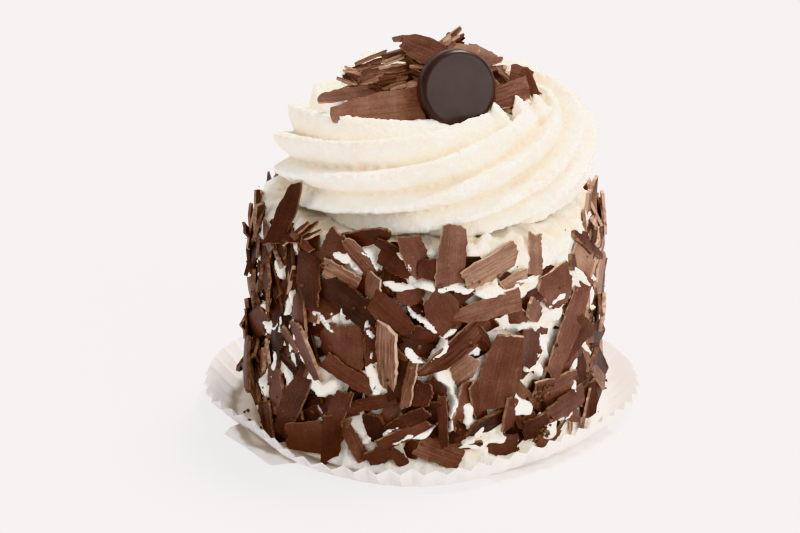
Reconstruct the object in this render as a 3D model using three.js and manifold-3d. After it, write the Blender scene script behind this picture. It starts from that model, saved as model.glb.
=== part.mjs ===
// Chocolate merveilleux: a round cake of meringue and whipped cream, rolled in chocolate shavings,
// with a piped cream rosette, a heap of shavings and a chocolate disc on it, in a pleated paper case.
// Millimetres, +Z up. The origin is the middle of the flat underside of the case, and the front,
// where the disc faces, is towards -Y.

import * as THREE from "three";
import { mergeVertices } from "three/addons/utils/BufferGeometryUtils.js";
import Module from "manifold-3d";

const wasm = await Module();
wasm.setup();

// Driving dimensions

const GAP = 0.3; // air left between pieces that touch in the real cake
const PAPER = 0.4; // modelled thickness of the paper, which is thinner in the real case

const CASE = {
  floorRadius: 43, // fold between the flat floor and the pleated wall
  rimRadius: 49.8,
  rimHeight: 4.5,
  pleats: 60,
  pleatDepth: 0.9,
};

// Handling has bent the case. Each row is where, in degrees from +X, and over how many degrees to
// either side, then what it adds to the radius of the fold, the radius of the rim and its height.
const BENDS = [
  [-148, 19, -2.6, -4.3, 1.7],
  [-96, 20, 2, -1.1, 0.3],
  [-63, 17, -1.6, -3.8, 0.5],
  [-36, 23, -2.5, -4.5, 1.5],
  [28, 34, 0.4, 0.4, 1.7],
  [95, 40, -0.4, -1.2, 0],
  [157, 30, 0, 0.8, 2.4],
];

const CAKE = {
  middleX: 0.6, // the cake stands a little off the middle of its case
  footRadius: 37,
  bellyRadius: 38,
  topRadius: 37.4,
  shoulder: 4,
  bottom: PAPER + GAP,
  top: 52,
  sides: 40,
};

const ROSETTE = {
  middleX: 2.5,
  turnRadius: 23.5, // from the middle of the rosette to the middle of the rope
  ridges: 10,
  crestRadius: 13.1,
  flankRadius: 11, // half-way down the long side of a ridge
  creaseRadius: 8.4,
  startAt: 100, // degrees round from +X, at the back
  startHeight: 61.8,
  risePerTurn: 3.4,
  firstRidge: 45, // degrees above level of one ridge, where the rope passes the left side
  slip: 36, // degrees that the ridges fall behind the turn, from the left side to the front
  slipFrom: 170,
  slipOver: 110,
  tailDegrees: 75, // the rope goes on past a full turn and tapers into the middle
  tailInward: 10,
  tailRise: 7,
  tailTip: 0.12, // share of the thickness left at the very end
  step: 10, // degrees between cross-sections
};

const DISC = {
  radius: 8.6,
  thickness: 4.4,
  edge: 1.3, // radius of its rounded edge
  middle: [7, -16.2, 81.7],
  turned: 18, // degrees to the right, seen from the front
  leaned: 12, // degrees back
  sides: 32,
};

const SHAVING = {
  thickness: 0.9,
  sunk: 0.7, // depth of its lowest edge in the cream
  waisted: 5.4, // from this width on it has a corner half-way along each side
  waistShift: 0.18,
};

// The shavings that stand out on the side of the cake. Each row is degrees round from the front,
// height of its middle, length, width, and lean in degrees clockwise from upright.
const LARGE_SHAVINGS = [
  [-21, 54, 11.5, 3.6, 73],
  [-31, 50.4, 8.4, 5.8, 21],
  [-22, 49.6, 10.6, 3, -38],
  [-10, 48.6, 8, 3.7, -62],
  [-4, 51, 9.4, 4.8, -20],
  [39, 48.2, 9, 3.2, 5],
  [-29, 44.8, 8, 4, -68],
  [21, 47.4, 13.8, 5.8, 73],
  [8, 50.6, 13, 5.6, 7],
  [5, 38.7, 10.4, 7, -28],
  [19, 39.1, 15.2, 4.9, 79],
  [-11, 38.5, 10.8, 4.9, -53],
  [-26, 39.5, 14.4, 6.2, -60],
  [-41, 44.3, 16, 5, -15],
  [-12, 28.2, 16.6, 4.6, 3],
  [-28, 29, 8.8, 10, 0],
  [-26, 22.3, 12.4, 3.2, -60],
  [-44, 32.2, 11.5, 4.8, -13],
  [-39, 26.4, 13.1, 4.4, -29],
  [-46, 13.7, 20, 5.2, 22],
  [-41, 5.8, 7.4, 9, 1],
  [-32, 5.4, 12, 4.2, 6],
  [-18, 16.3, 12, 2.5, 73],
  [-28, 15.1, 7.4, 3.8, 24],
  [-5, 22.9, 11, 2.1, 11],
  [12, 25.4, 6.2, 6.4, 46],
  [34, 27.3, 8.3, 6.2, 11],
  [46, 39.6, 8.2, 8.4, -2],
  [51, 25.3, 13.8, 7.8, 42],
  [63, 29.6, 12, 8.4, 66],
  [52, 29.7, 24, 5.8, 40],
  [45, 16.7, 12.8, 5.5, 92],
  [50, 11.4, 13.4, 4, 84],
  [11, 16.8, 10.3, 3.4, 17],
  [16, 16.4, 11.4, 2.8, -19],
  [5, 14.2, 11.4, 1.9, -3],
  [24, 10.9, 10.3, 6.7, 69],
  [26, 5.4, 6.9, 4, 88],
  [4, 5.9, 10, 4.8, -67],
  [24, 23.5, 17.9, 8.8, 10],
  [8, 29.8, 19.2, 5.7, 52],
  [-64, 40.5, 10.5, 7, 12],
  [-56, 22, 16, 4.2, -12],
  [-68, 11.5, 14.5, 5, -22],
  [78, 48, 14, 4.4, -8],
];

// The rest of the side is covered by a rule. It leaves out the front, which the large ones cover.
const SCATTERED_SHAVINGS = {
  seed: 41,
  count: 70,
  frontWidth: 108,
  lowest: 5,
  highest: 50,
  goldenAngle: 137.508,
  length: [10, 17],
  width: [3.8, 7.4],
  lean: [-60, 60],
};

const HEAP = {
  middle: [2.5, 0],
  foot: 60,
  throatRadius: 9,
  spreadRadius: 18.5,
  spreadHeight: 74,
  top: 84,
  sides: 20,
  seed: 7,
  count: 10, // shavings scattered over it, besides the large ones
  reach: 17,
  goldenAngle: 137.508,
  length: [9, 14],
  width: [3.4, 5.6],
};

// The shavings that stand out on the heap. Each row is x, y and height of its middle, length,
// width, and in degrees the heading of its length from +X, its climb and its roll.
const HEAP_SHAVINGS = [
  [-10.5, -14, 77.2, 19.5, 6.6, -8, 5, 52],
  [-17, -10.5, 78.8, 12, 3.2, 10, 11, 35],
  [-9.5, -6.5, 81.7, 17.5, 4.4, 12, 17, 34],
  [-12, -2.5, 82, 13.5, 4.6, 22, 12, 18],
  [-1, -4.5, 86.2, 12.5, 5.8, -15, -18, 48],
  [6, -1, 88, 10.5, 4.2, 15, 36, 20],
  [7.8, -3, 85, 10, 4.4, -15, -14, 40],
  [15.5, -1.5, 81.9, 10.5, 3, -15, -38, 20],
  [18.8, -10, 79.4, 10, 5.2, 22, 26, 48],
  [21.5, -3, 79.4, 7.4, 4, -30, -34, 30],
];

const COLOURS = {
  paper: 0xf1ebe6,
  cream: 0xf8eddc,
  shavings: 0x5f3a2b,
  disc: 0x3b2522,
};

// Small helpers

const radians = THREE.MathUtils.degToRad;

// Numbers drawn one after another from a seed, evenly between two limits.
function drawer(seed) {
  let state = seed;
  return (low, high) => {
    state = (Math.imul(state, 1664525) + 1013904223) >>> 0;
    return low + ((high - low) * state) / 2 ** 32;
  };
}

// A closed geometry as a solid that can be joined and cut.
function solid(geometry) {
  const bare = geometry.index ? geometry.toNonIndexed() : geometry.clone();
  bare.deleteAttribute("normal");
  bare.deleteAttribute("uv");
  const merged = mergeVertices(bare, 1e-4);
  return new wasm.Manifold(
    new wasm.Mesh({
      numProp: 3,
      vertProperties: new Float32Array(merged.attributes.position.array),
      triVerts: new Uint32Array(merged.index.array),
    }),
  );
}

function geometryOf(manifold) {
  const mesh = manifold.getMesh();
  return new THREE.BufferGeometry()
    .setAttribute("position", new THREE.BufferAttribute(mesh.vertProperties, 3))
    .setIndex(new THREE.BufferAttribute(mesh.triVerts, 1));
}

// The largest body of a solid, without the scraps that a cut leaves loose.
function largest(manifold) {
  return manifold.decompose().sort((a, b) => b.volume() - a.volume())[0];
}

// All the room below a height, to cut away.
function below(height) {
  const deep = 60;
  return solid(new THREE.BoxGeometry(200, 200, deep).translate(0, 0, height - deep / 2));
}

// A closed skin over a row of rings with the same number of points, with a fan over each end.
function skin(rings) {
  const around = rings[0].length;
  const positions = rings.flat().flatMap((point) => point.toArray());
  const indices = [];
  for (let ring = 0; ring + 1 < rings.length; ring += 1) {
    for (let i = 0; i < around; i += 1) {
      const next = (i + 1) % around;
      const [a, b] = [ring * around + i, ring * around + next];
      indices.push(a, b, b + around, a, b + around, a + around);
    }
  }
  const cap = (ring, outward) => {
    const middle = rings[ring]
      .reduce((sum, point) => sum.add(point), new THREE.Vector3())
      .divideScalar(around);
    const centre = positions.length / 3;
    positions.push(...middle.toArray());
    for (let i = 0; i < around; i += 1) {
      const [a, b] = [ring * around + i, ring * around + ((i + 1) % around)];
      indices.push(...(outward ? [centre, a, b] : [centre, b, a]));
    }
  };
  cap(0, false);
  cap(rings.length - 1, true);
  return new THREE.BufferGeometry()
    .setAttribute("position", new THREE.Float32BufferAttribute(positions, 3))
    .setIndex(indices);
}

// A profile of [radius, height] points turned about the vertical axis.
function turned(profile, sides) {
  const points = profile.map(([radius, height]) => new THREE.Vector2(radius, height));
  return new THREE.LatheGeometry(points, sides).rotateX(Math.PI / 2);
}

// The paper case

// The radius of the fold, the radius of the rim and the height of the rim at an angle.
function bent(angle) {
  const sizes = [CASE.floorRadius, CASE.rimRadius, CASE.rimHeight];
  for (const [at, wide, ...added] of BENDS) {
    const turn = THREE.MathUtils.radToDeg(angle) - at;
    const away = THREE.MathUtils.euclideanModulo(turn + 180, 360) - 180;
    const share = Math.exp(-((away / wide) ** 2));
    added.forEach((size, i) => (sizes[i] += share * size));
  }
  return sizes;
}

// One ring of the case: how far it lies from the fold towards the rim, and how much of the pleats
// shows there. Alternate points stand out and in, square to the sloping wall.
function caseRing(share, rise, pleating, lift) {
  const { pleats, pleatDepth } = CASE;
  return Array.from({ length: 2 * pleats }, (_, i) => {
    const angle = (Math.PI * i) / pleats;
    const [fold, rim, high] = bent(angle);
    const slope = Math.atan2(high, rim - fold);
    const out = (i % 2 ? -0.5 : 0.5) * pleatDepth * pleating;
    const radius = THREE.MathUtils.lerp(fold, rim, share) + out * Math.sin(slope);
    return new THREE.Vector3(
      radius * Math.cos(angle),
      radius * Math.sin(angle),
      rise * (high - out * Math.cos(slope)) + lift,
    );
  });
}

function paperCase() {
  const wall = [
    [0, 0, 0],
    [0.4, 0.28, 0.6],
    [1, 1, 1],
  ];
  const under = wall.map(([share, rise, pleating]) => caseRing(share, rise, pleating, 0));
  const over = wall.map(([share, rise, pleating]) => caseRing(share, rise, pleating, PAPER));
  return skin([...under, ...over.reverse()]);
}

// The cake and the shavings on its side

function wallRadius(height) {
  const { footRadius, bellyRadius, topRadius, shoulder, bottom, top } = CAKE;
  const belly = (bottom + top) / 2;
  const end = height < belly ? footRadius : topRadius;
  const away = Math.abs(height - belly) / (top - belly);
  const wall = THREE.MathUtils.lerp(bellyRadius, end, away * away);
  const over = Math.max(0, height - (top - shoulder));
  return wall - shoulder + Math.sqrt(Math.max(0, shoulder ** 2 - over ** 2));
}

function cakeBody() {
  const { bottom, top, shoulder, sides } = CAKE;
  const profile = [[0, bottom]];
  for (const share of [0, 0.25, 0.5, 0.75, 1]) {
    const height = THREE.MathUtils.lerp(bottom, top - shoulder, share);
    profile.push([wallRadius(height), height]);
  }
  for (const angle of [30, 60, 90]) {
    const height = top - shoulder + shoulder * Math.sin(radians(angle));
    profile.push([wallRadius(height), height]);
  }
  profile.push([0, top]);
  return turned(profile, sides);
}

// A flat shaving broken off at both ends, lying in X and Y with its length along Y.
function shaving(long, wide, draw) {
  const [tail, middle, head] = [draw(0.45, 1), draw(0.85, 1.1), draw(0.45, 1)];
  const [tailSlant, headSlant] = [draw(-0.5, 0.5), draw(-0.5, 0.5)];
  const waist = draw(-SHAVING.waistShift, SHAVING.waistShift) * long;
  const [x, y] = [wide / 2, long / 2];
  const corners = [
    [-x * tail, -y - tailSlant * x],
    [x * tail, -y + tailSlant * x],
    [x * middle, waist],
    [x * head, y + headSlant * x],
    [-x * head, y - headSlant * x],
    [-x * middle, -waist],
  ].filter((_, i) => wide >= SHAVING.waisted || i % 3 !== 2);
  const outline = new THREE.Shape(corners.map(([across, along]) => new THREE.Vector2(across, along)));
  const settings = { depth: SHAVING.thickness, bevelEnabled: false };
  return new THREE.ExtrudeGeometry(outline, settings);
}

// Puts a shaving on the side of the cake, turned by its lean, rolled about its length and tipped
// about its width, with its deepest edge a little way into the cream.
function onTheSide(piece, { round, up, long, wide, lean, roll, tip }) {
  const reach = (long / 2) * Math.cos(radians(lean)) + (wide / 2) * Math.abs(Math.sin(radians(lean)));
  const height = Math.max(up, CAKE.bottom + GAP + reach);
  const out = new THREE.Vector3(Math.sin(radians(round)), -Math.cos(radians(round)), 0);
  const along = new THREE.Vector3(Math.cos(radians(round)), Math.sin(radians(round)), 0);
  const up1 = new THREE.Vector3(0, 0, 1);
  const across = Math.abs(Math.sin(radians(lean))) * (long / 2);
  const bulge = across ** 2 / (2 * CAKE.bellyRadius);
  const deepest =
    (wide / 2) * Math.sin(radians(Math.abs(roll))) + (long / 2) * Math.sin(radians(Math.abs(tip)));
  const distance = wallRadius(Math.min(height, CAKE.top - CAKE.shoulder)) + deepest - bulge - SHAVING.sunk;
  const place = new THREE.Matrix4().makeBasis(along, up1, out);
  place.setPosition(out.clone().multiplyScalar(distance).setZ(height));
  return piece
    .applyMatrix4(new THREE.Matrix4().makeRotationY(radians(roll)))
    .applyMatrix4(new THREE.Matrix4().makeRotationX(radians(tip)))
    .applyMatrix4(new THREE.Matrix4().makeRotationZ(-radians(lean)))
    .applyMatrix4(place);
}

function largePlaces(draw) {
  return LARGE_SHAVINGS.map(([round, up, long, wide, lean]) => {
    const roll = draw(8, 22) * (draw(0, 1) < 0.5 ? -1 : 1);
    return { round, up, long, wide, lean, roll, tip: draw(-5, 5) };
  });
}

function scatteredPlaces(draw) {
  const { count, frontWidth, lowest, highest, goldenAngle } = SCATTERED_SHAVINGS;
  const { length, width, lean } = SCATTERED_SHAVINGS;
  const places = Array.from({ length: count }, (_, i) => ({
    round: THREE.MathUtils.euclideanModulo(i * goldenAngle + draw(-4, 4), 360) - 180,
    up: THREE.MathUtils.lerp(lowest, highest, (i + 0.5) / count) + draw(-1.5, 1.5),
    long: draw(...length),
    wide: draw(...width),
    lean: draw(...lean),
    roll: draw(-16, 16),
    tip: draw(-4, 4),
  }));
  return places.filter(({ round }) => Math.abs(round) > frontWidth / 2);
}

function sideShavings() {
  const draw = drawer(SCATTERED_SHAVINGS.seed);
  return [...largePlaces(draw), ...scatteredPlaces(draw)].map((place) =>
    solid(onTheSide(shaving(place.long, place.wide, draw), place)),
  );
}

function cake() {
  const whole = wasm.Manifold.union([solid(cakeBody()), ...sideShavings()]);
  const inPlace = whole.translate(CAKE.middleX, 0, 0);
  return largest(inPlace.subtract(below(CAKE.bottom)).subtract(rope(GAP)));
}

// The piped rosette

// Where the middle of the rope is, and how thick it is, some degrees after its start.
function ropeAt(degrees) {
  const { turnRadius, startAt, startHeight, risePerTurn } = ROSETTE;
  const { tailDegrees, tailInward, tailRise, tailTip } = ROSETTE;
  const tail = Math.max(0, (degrees - 360) / tailDegrees);
  return {
    heading: radians(startAt + degrees),
    radius: turnRadius - tailInward * tail * tail,
    height: startHeight + (risePerTurn * Math.min(degrees, 360)) / 360 + tailRise * tail,
    thickness: 1 - (1 - tailTip) * tail * tail,
  };
}

// The nozzle keeps its own heading while it goes round, so the ridges wind about the rope. They
// slip back by one ridge on the way from the left side to the front.
function ridgeAngle(degrees) {
  const { startAt, firstRidge, slip, slipFrom, slipOver } = ROSETTE;
  const round = startAt + degrees;
  return firstRidge + round - 180 - slip * THREE.MathUtils.smoothstep(round, slipFrom, slipFrom + slipOver);
}

// A cross-section of the rope, where each ridge has a sharp crest nearer to one of its two creases.
function ropeRing(degrees, grow) {
  const { ridges, crestRadius, flankRadius, creaseRadius } = ROSETTE;
  const { heading, radius, height, thickness } = ropeAt(degrees);
  const pitch = 360 / ridges;
  const ring = [];
  for (let ridge = 0; ridge < ridges; ridge += 1) {
    for (const [share, size] of [
      [-0.5, creaseRadius],
      [-0.18, crestRadius],
      [0.16, flankRadius],
    ]) {
      const angle = radians(ridgeAngle(degrees) - (ridge + share) * pitch);
      const reach = size * thickness + grow;
      const out = radius + reach * Math.cos(angle);
      const up = height + reach * Math.sin(angle);
      ring.push(new THREE.Vector3(out * Math.cos(heading), out * Math.sin(heading), up));
    }
  }
  return ring;
}

function ropeStretch(from, to, grow) {
  const count = Math.round((to - from) / ROSETTE.step);
  const rings = [];
  for (let i = 0; i <= count; i += 1) {
    rings.push(ropeRing(THREE.MathUtils.lerp(from, to, i / count), grow));
  }
  return solid(skin(rings));
}

// The whole rope, made in two stretches because its tail lies against its start. It can be grown
// all round, to cut what must stay clear of it.
function rope(grow) {
  const half = 216;
  const whole = ropeStretch(0, half, grow).add(ropeStretch(half, 360 + ROSETTE.tailDegrees, grow));
  return whole.translate(ROSETTE.middleX, 0, 0);
}

function rosette() {
  const whole = rope(0).subtract(below(CAKE.top + GAP));
  return largest(whole.subtract(solid(disc(GAP))));
}

// The chocolate disc

function discProfile(radius, thickness, edge) {
  const profile = [[0, 0]];
  for (const angle of [-90, -45, 0]) {
    profile.push([
      radius - edge + edge * Math.cos(radians(angle)),
      edge + edge * Math.sin(radians(angle)),
    ]);
  }
  for (const angle of [0, 45, 90]) {
    profile.push([
      radius - edge + edge * Math.cos(radians(angle)),
      thickness - edge + edge * Math.sin(radians(angle)),
    ]);
  }
  profile.push([0, thickness]);
  return profile;
}

// The disc stands on its edge, with its back towards the heap.
function disc(grow) {
  const { radius, thickness, edge, middle, turned: aside, leaned, sides } = DISC;
  return turned(discProfile(radius + grow, thickness + 2 * grow, edge), sides)
    .translate(0, 0, -thickness / 2 - grow)
    .rotateX(radians(90 - leaned))
    .rotateZ(radians(aside))
    .translate(...middle);
}

// The heap of shavings on top

// The height of the middle of the heap, some way from its axis.
function heapHeight(distance) {
  const { spreadRadius, spreadHeight, top } = HEAP;
  return THREE.MathUtils.lerp(top, spreadHeight + 1, (distance / spreadRadius) ** 1.6);
}

function heapCore() {
  const { middle, foot, throatRadius, spreadRadius, spreadHeight, sides } = HEAP;
  const profile = [
    [0, foot],
    [throatRadius, foot],
    [throatRadius, spreadHeight - 8],
    [spreadRadius, spreadHeight - 1],
  ];
  for (const share of [1, 0.6, 0]) {
    profile.push([spreadRadius * share, heapHeight(spreadRadius * share)]);
  }
  return turned(profile, sides).translate(...middle, 0);
}

function heapShaving([x, y, height, long, wide, heading, climb, roll], draw) {
  return shaving(long, wide, draw)
    .translate(0, 0, -SHAVING.thickness / 2)
    .rotateZ(-Math.PI / 2)
    .rotateX(radians(roll))
    .rotateY(-radians(climb))
    .rotateZ(radians(heading))
    .translate(x, y, height);
}

// Shavings lying over the middle of the heap, each at a heading of its own.
function scatteredOnHeap(draw) {
  const { middle, count, reach, goldenAngle, length, width } = HEAP;
  return Array.from({ length: count }, (_, i) => {
    const distance = reach * Math.sqrt((i + 0.5) / count);
    const round = radians(i * goldenAngle + draw(-10, 10));
    const heading = draw(0, 180);
    const fall = 12 + (26 * distance) / reach;
    const downhill = round - radians(heading);
    return [
      middle[0] + distance * Math.cos(round),
      middle[1] + distance * Math.sin(round),
      heapHeight(distance) + 0.4,
      draw(...length),
      draw(...width),
      heading,
      -fall * Math.cos(downhill) + draw(-8, 8),
      -fall * Math.sin(downhill) + draw(-14, 14),
    ];
  });
}

function heap() {
  const draw = drawer(HEAP.seed);
  const rows = [...scatteredOnHeap(draw), ...HEAP_SHAVINGS];
  const pieces = rows.map((row) => solid(heapShaving(row, draw)));
  const whole = wasm.Manifold.union([solid(heapCore()), ...pieces]);
  return largest(whole.subtract(rope(GAP)).subtract(solid(disc(GAP))));
}

// The model

const merveilleux = new THREE.Group();

function add(name, geometry, colour, roughness) {
  const material = new THREE.MeshStandardMaterial({ color: colour, roughness, metalness: 0 });
  const mesh = new THREE.Mesh(geometry, material);
  mesh.name = name;
  merveilleux.add(mesh);
  return mesh;
}

add("paper_case", paperCase(), COLOURS.paper, 0.8);

add("cake_with_shavings", geometryOf(cake()), COLOURS.shavings, 0.6);
add("cream_rosette", geometryOf(rosette()), COLOURS.cream, 0.55);
add("shavings_heap", geometryOf(heap()), COLOURS.shavings, 0.6);
add("chocolate_disc", disc(0), COLOURS.disc, 0.4);

export default merveilleux;
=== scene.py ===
# %% [markdown]
# # A chocolate merveilleux in its paper case
#
# A merveilleux is two light meringues held together with whipped cream, coated with more of it and
# rolled in dark chocolate shavings. This one is finished with a thick piped rosette, a heap of
# shavings and a small chocolate disc, and it stands in a pleated white paper case.
#
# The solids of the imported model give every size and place. This notebook dresses them: cream that
# looks whipped, shavings that look broken, paper that lets a little light through.

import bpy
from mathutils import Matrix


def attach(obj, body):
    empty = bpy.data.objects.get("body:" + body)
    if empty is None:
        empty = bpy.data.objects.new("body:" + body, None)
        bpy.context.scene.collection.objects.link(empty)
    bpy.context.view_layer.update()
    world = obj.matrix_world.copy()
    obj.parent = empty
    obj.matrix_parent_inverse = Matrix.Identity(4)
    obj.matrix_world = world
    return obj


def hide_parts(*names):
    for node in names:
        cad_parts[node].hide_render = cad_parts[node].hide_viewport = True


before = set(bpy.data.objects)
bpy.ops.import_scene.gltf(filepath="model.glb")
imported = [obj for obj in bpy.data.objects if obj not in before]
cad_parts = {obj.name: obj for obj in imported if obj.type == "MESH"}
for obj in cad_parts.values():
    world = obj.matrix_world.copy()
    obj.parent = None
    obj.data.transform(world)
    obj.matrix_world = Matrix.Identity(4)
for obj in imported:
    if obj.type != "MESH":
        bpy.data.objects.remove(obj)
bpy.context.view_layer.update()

import math

import bmesh
import bpy
import numpy
from mathutils import Matrix, Vector, noise

# %% [markdown]
# ## Millimetres
#
# A cake is measured in millimetres and Blender works in metres. Each mesh is therefore modelled in
# millimetres and scaled once, when it is finished. The objects themselves stay at the origin.

# %% Sizes of the cake, in millimetres and degrees
MM = 0.001
CASE = {"fold": 43.0, "rim": 49.8, "high": 4.5, "pleats": 60, "pleat": 1.3, "paper": 0.12}
CAKE = {"x": 0.6, "foot": 38.4, "belly": 37.8, "top": 37.0, "shoulder": 4.0, "low": 0.7, "high": 52.0}
ROPE = {"x": 2.5, "turn": 23.5, "ridges": 10, "crest": 13.1, "crease": 8.2, "start": 100, "height": 61.8}
ROPE |= {"rise": 3.4, "ridge": 45, "slip": 36, "slip_from": 170, "slip_over": 110, "crest_at": 0.28}
ROPE |= {"tail": 75, "tail_in": 10, "tail_up": 7, "tail_tip": 0.12, "foot": 52.15, "pressed": 34}
DISC = {"radius": 8.6, "thick": 4.4, "edge": 1.3, "middle": (7.0, -16.2, 81.7), "turned": 18, "leaned": 12}
HEAP = {"x": 2.5, "y": 0.0, "throat": 9.0, "foot": 60.0, "spread": 18.5, "rim": 75.0, "high": 84.0}
UNROLLED = 38.0  # radius at which the side of the cake is unrolled
COLUMNS = round(2 * math.pi * UNROLLED)  # cells of a millimetre all round it
ROWS = 64  # and up it
CELL = 0.5  # the ridges of cream are drawn in finer cells


# %% A steady source of uneven numbers
class Drawer:
    """Numbers drawn one after another from a seed, evenly between two limits."""

    def __init__(self, seed):
        self.state = seed

    def __call__(self, low, high):
        self.state = (self.state * 1664525 + 1013904223) % 2**32
        return low + (high - low) * self.state / 2**32


# %% [markdown]
# ## The camera
#
# The cake was photographed with a long lens, from a little above. A focal length of 139 mm on a
# 36 mm sensor, 0.7 m away and 20.5 degrees up, gives the same ellipses at the rim of the case and at
# the shoulder of the cake.


# %% Camera
def show(name, data):
    """Puts a mesh, a light or a camera in the scene."""
    thing = bpy.data.objects.new(name, data)
    bpy.context.collection.objects.link(thing)
    return thing


AIM = Vector((-5.2, 0.0, 34.4)) * MM
ELEVATION = math.radians(20.5)
lens = bpy.data.cameras.new("camera")
lens.sensor_width = 36
lens.lens = 138.6
camera = show("camera", lens)
camera.location = AIM + 0.7 * Vector((0, -math.cos(ELEVATION), math.sin(ELEVATION)))
camera.rotation_euler = (math.pi / 2 - ELEVATION, 0, 0)
bpy.context.scene.camera = camera
print("camera at", tuple(round(v, 3) for v in camera.location))

# %% [markdown]
# ## Materials
#
# Colours are written as the sRGB hex values that a picture editor shows, and one function turns them
# to the linear values that Blender mixes. One more adds a node with its settings and its links.


# %% Colours and nodes
def linear(code):
    """The linear colour of an sRGB hex code."""
    parts = [int(code[i : i + 2], 16) / 255 for i in (1, 3, 5)]
    return (*(p / 12.92 if p <= 0.04045 else ((p + 0.055) / 1.055) ** 2.4 for p in parts), 1.0)


def set_inputs(tree, node, inputs):
    """Sets inputs, by name or number, to values, to outputs or to the first output of a node."""
    for name, value in inputs.items():
        if isinstance(value, bpy.types.Node):
            value = value.outputs[0]
        if isinstance(value, bpy.types.NodeSocket):
            tree.links.new(value, node.inputs[name])
        else:
            node.inputs[name].default_value = value


def add(tree, kind, inputs=None, **settings):
    """Adds a shader node with its settings and its inputs."""
    node = tree.nodes.new("ShaderNode" + kind)
    for name, value in settings.items():
        setattr(node, name, value)
    set_inputs(tree, node, inputs or {})
    return node


def new_material(name):
    """A material with a Principled shader: the material, its tree and the shader."""
    material = bpy.data.materials.new(name)
    material.use_nodes = True
    return material, material.node_tree, material.node_tree.nodes["Principled BSDF"]


def blend_stops(ramp, stops):
    """Sets the stops of a colour ramp from a list of (place, hex code)."""
    elements = ramp.color_ramp.elements
    while len(elements) < len(stops):
        elements.new(0.5)
    for element, (place, code) in zip(elements, stops):
        element.position = place
        element.color = linear(code)


# %% [markdown]
# ### Whipped cream
#
# Whipped cream is fat and air: ivory white, matt, and light soaks a few millimetres into it, which
# keeps its shadows warm and soft, warmest in the creases, where light goes through it most often.
# That warm shade in the creases is painted into the colour: an attribute that is measured on each
# piece says how deep in a crease a point lies, and there the cream turns darker and warmer. The skin
# is never smooth: air bubbles leave grains about half a millimetre wide, drawn a little coarser so
# that they show, and the nozzle or the knife drags faint waves a few millimetres long into it.


# %% Whipped cream
def whipped_cream():
    material, tree, shader = new_material("Whipped cream, piped and spread")
    place = add(tree, "TexCoord").outputs["Object"]
    grains = add(tree, "TexNoise", {"Vector": place, "Scale": 1 / 0.0007, "Detail": 3.0})
    waves = add(tree, "TexNoise", {"Vector": place, "Scale": 1 / 0.006, "Detail": 2.0})
    tint = add(tree, "ValToRGB", {"Fac": waves})
    blend_stops(tint, [(0.35, "#f9f0e3"), (0.65, "#fdf8ef")])
    # Painted shade: the deeper a point lies in a crease, the more its colour turns to a darker, warmer cream.
    painted_crease_shade = add(tree, "Attribute", attribute_name="painted_crease_shade").outputs["Fac"]
    warm = add(tree, "Mix", {"Factor": painted_crease_shade, 6: tint, 7: linear("#f2dfc0")}, data_type="RGBA")
    rough = add(tree, "Bump", {"Height": grains, "Strength": 0.6, "Distance": 0.0005})
    dragged = add(tree, "Bump", {"Height": waves, "Strength": 0.3, "Distance": 0.0008, "Normal": rough})
    set_inputs(tree, shader, {"Base Color": warm.outputs[2], "Normal": dragged, "Roughness": 0.6, "IOR": 1.4})
    set_inputs(tree, shader, {"Subsurface Weight": 0.3, "Subsurface Scale": 0.0018})
    set_inputs(tree, shader, {"Subsurface Radius": (1.0, 0.62, 0.34)})
    return material


cream = whipped_cream()

# %% [markdown]
# ### Shaved dark chocolate
#
# A knife drawn along a block of dark chocolate lifts strips. The blade leaves fine lines along each
# one, and it bruises the cocoa butter, so a freshly cut side looks paler and duller than the smooth
# one. Each shaving carries its own numbers in a mesh attribute: how pale it is, how deep its lines
# are and where its pattern starts. Its UV map is in metres along and across the strip, so the lines,
# about half a millimetre apart, follow it however it lies.

# %% Chocolate shavings
SHAVING_TONES = [(0.0, "#180d0a"), (0.25, "#462a23"), (0.5, "#654338"), (0.75, "#876554"), (1.0, "#ab8b76")]


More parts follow.
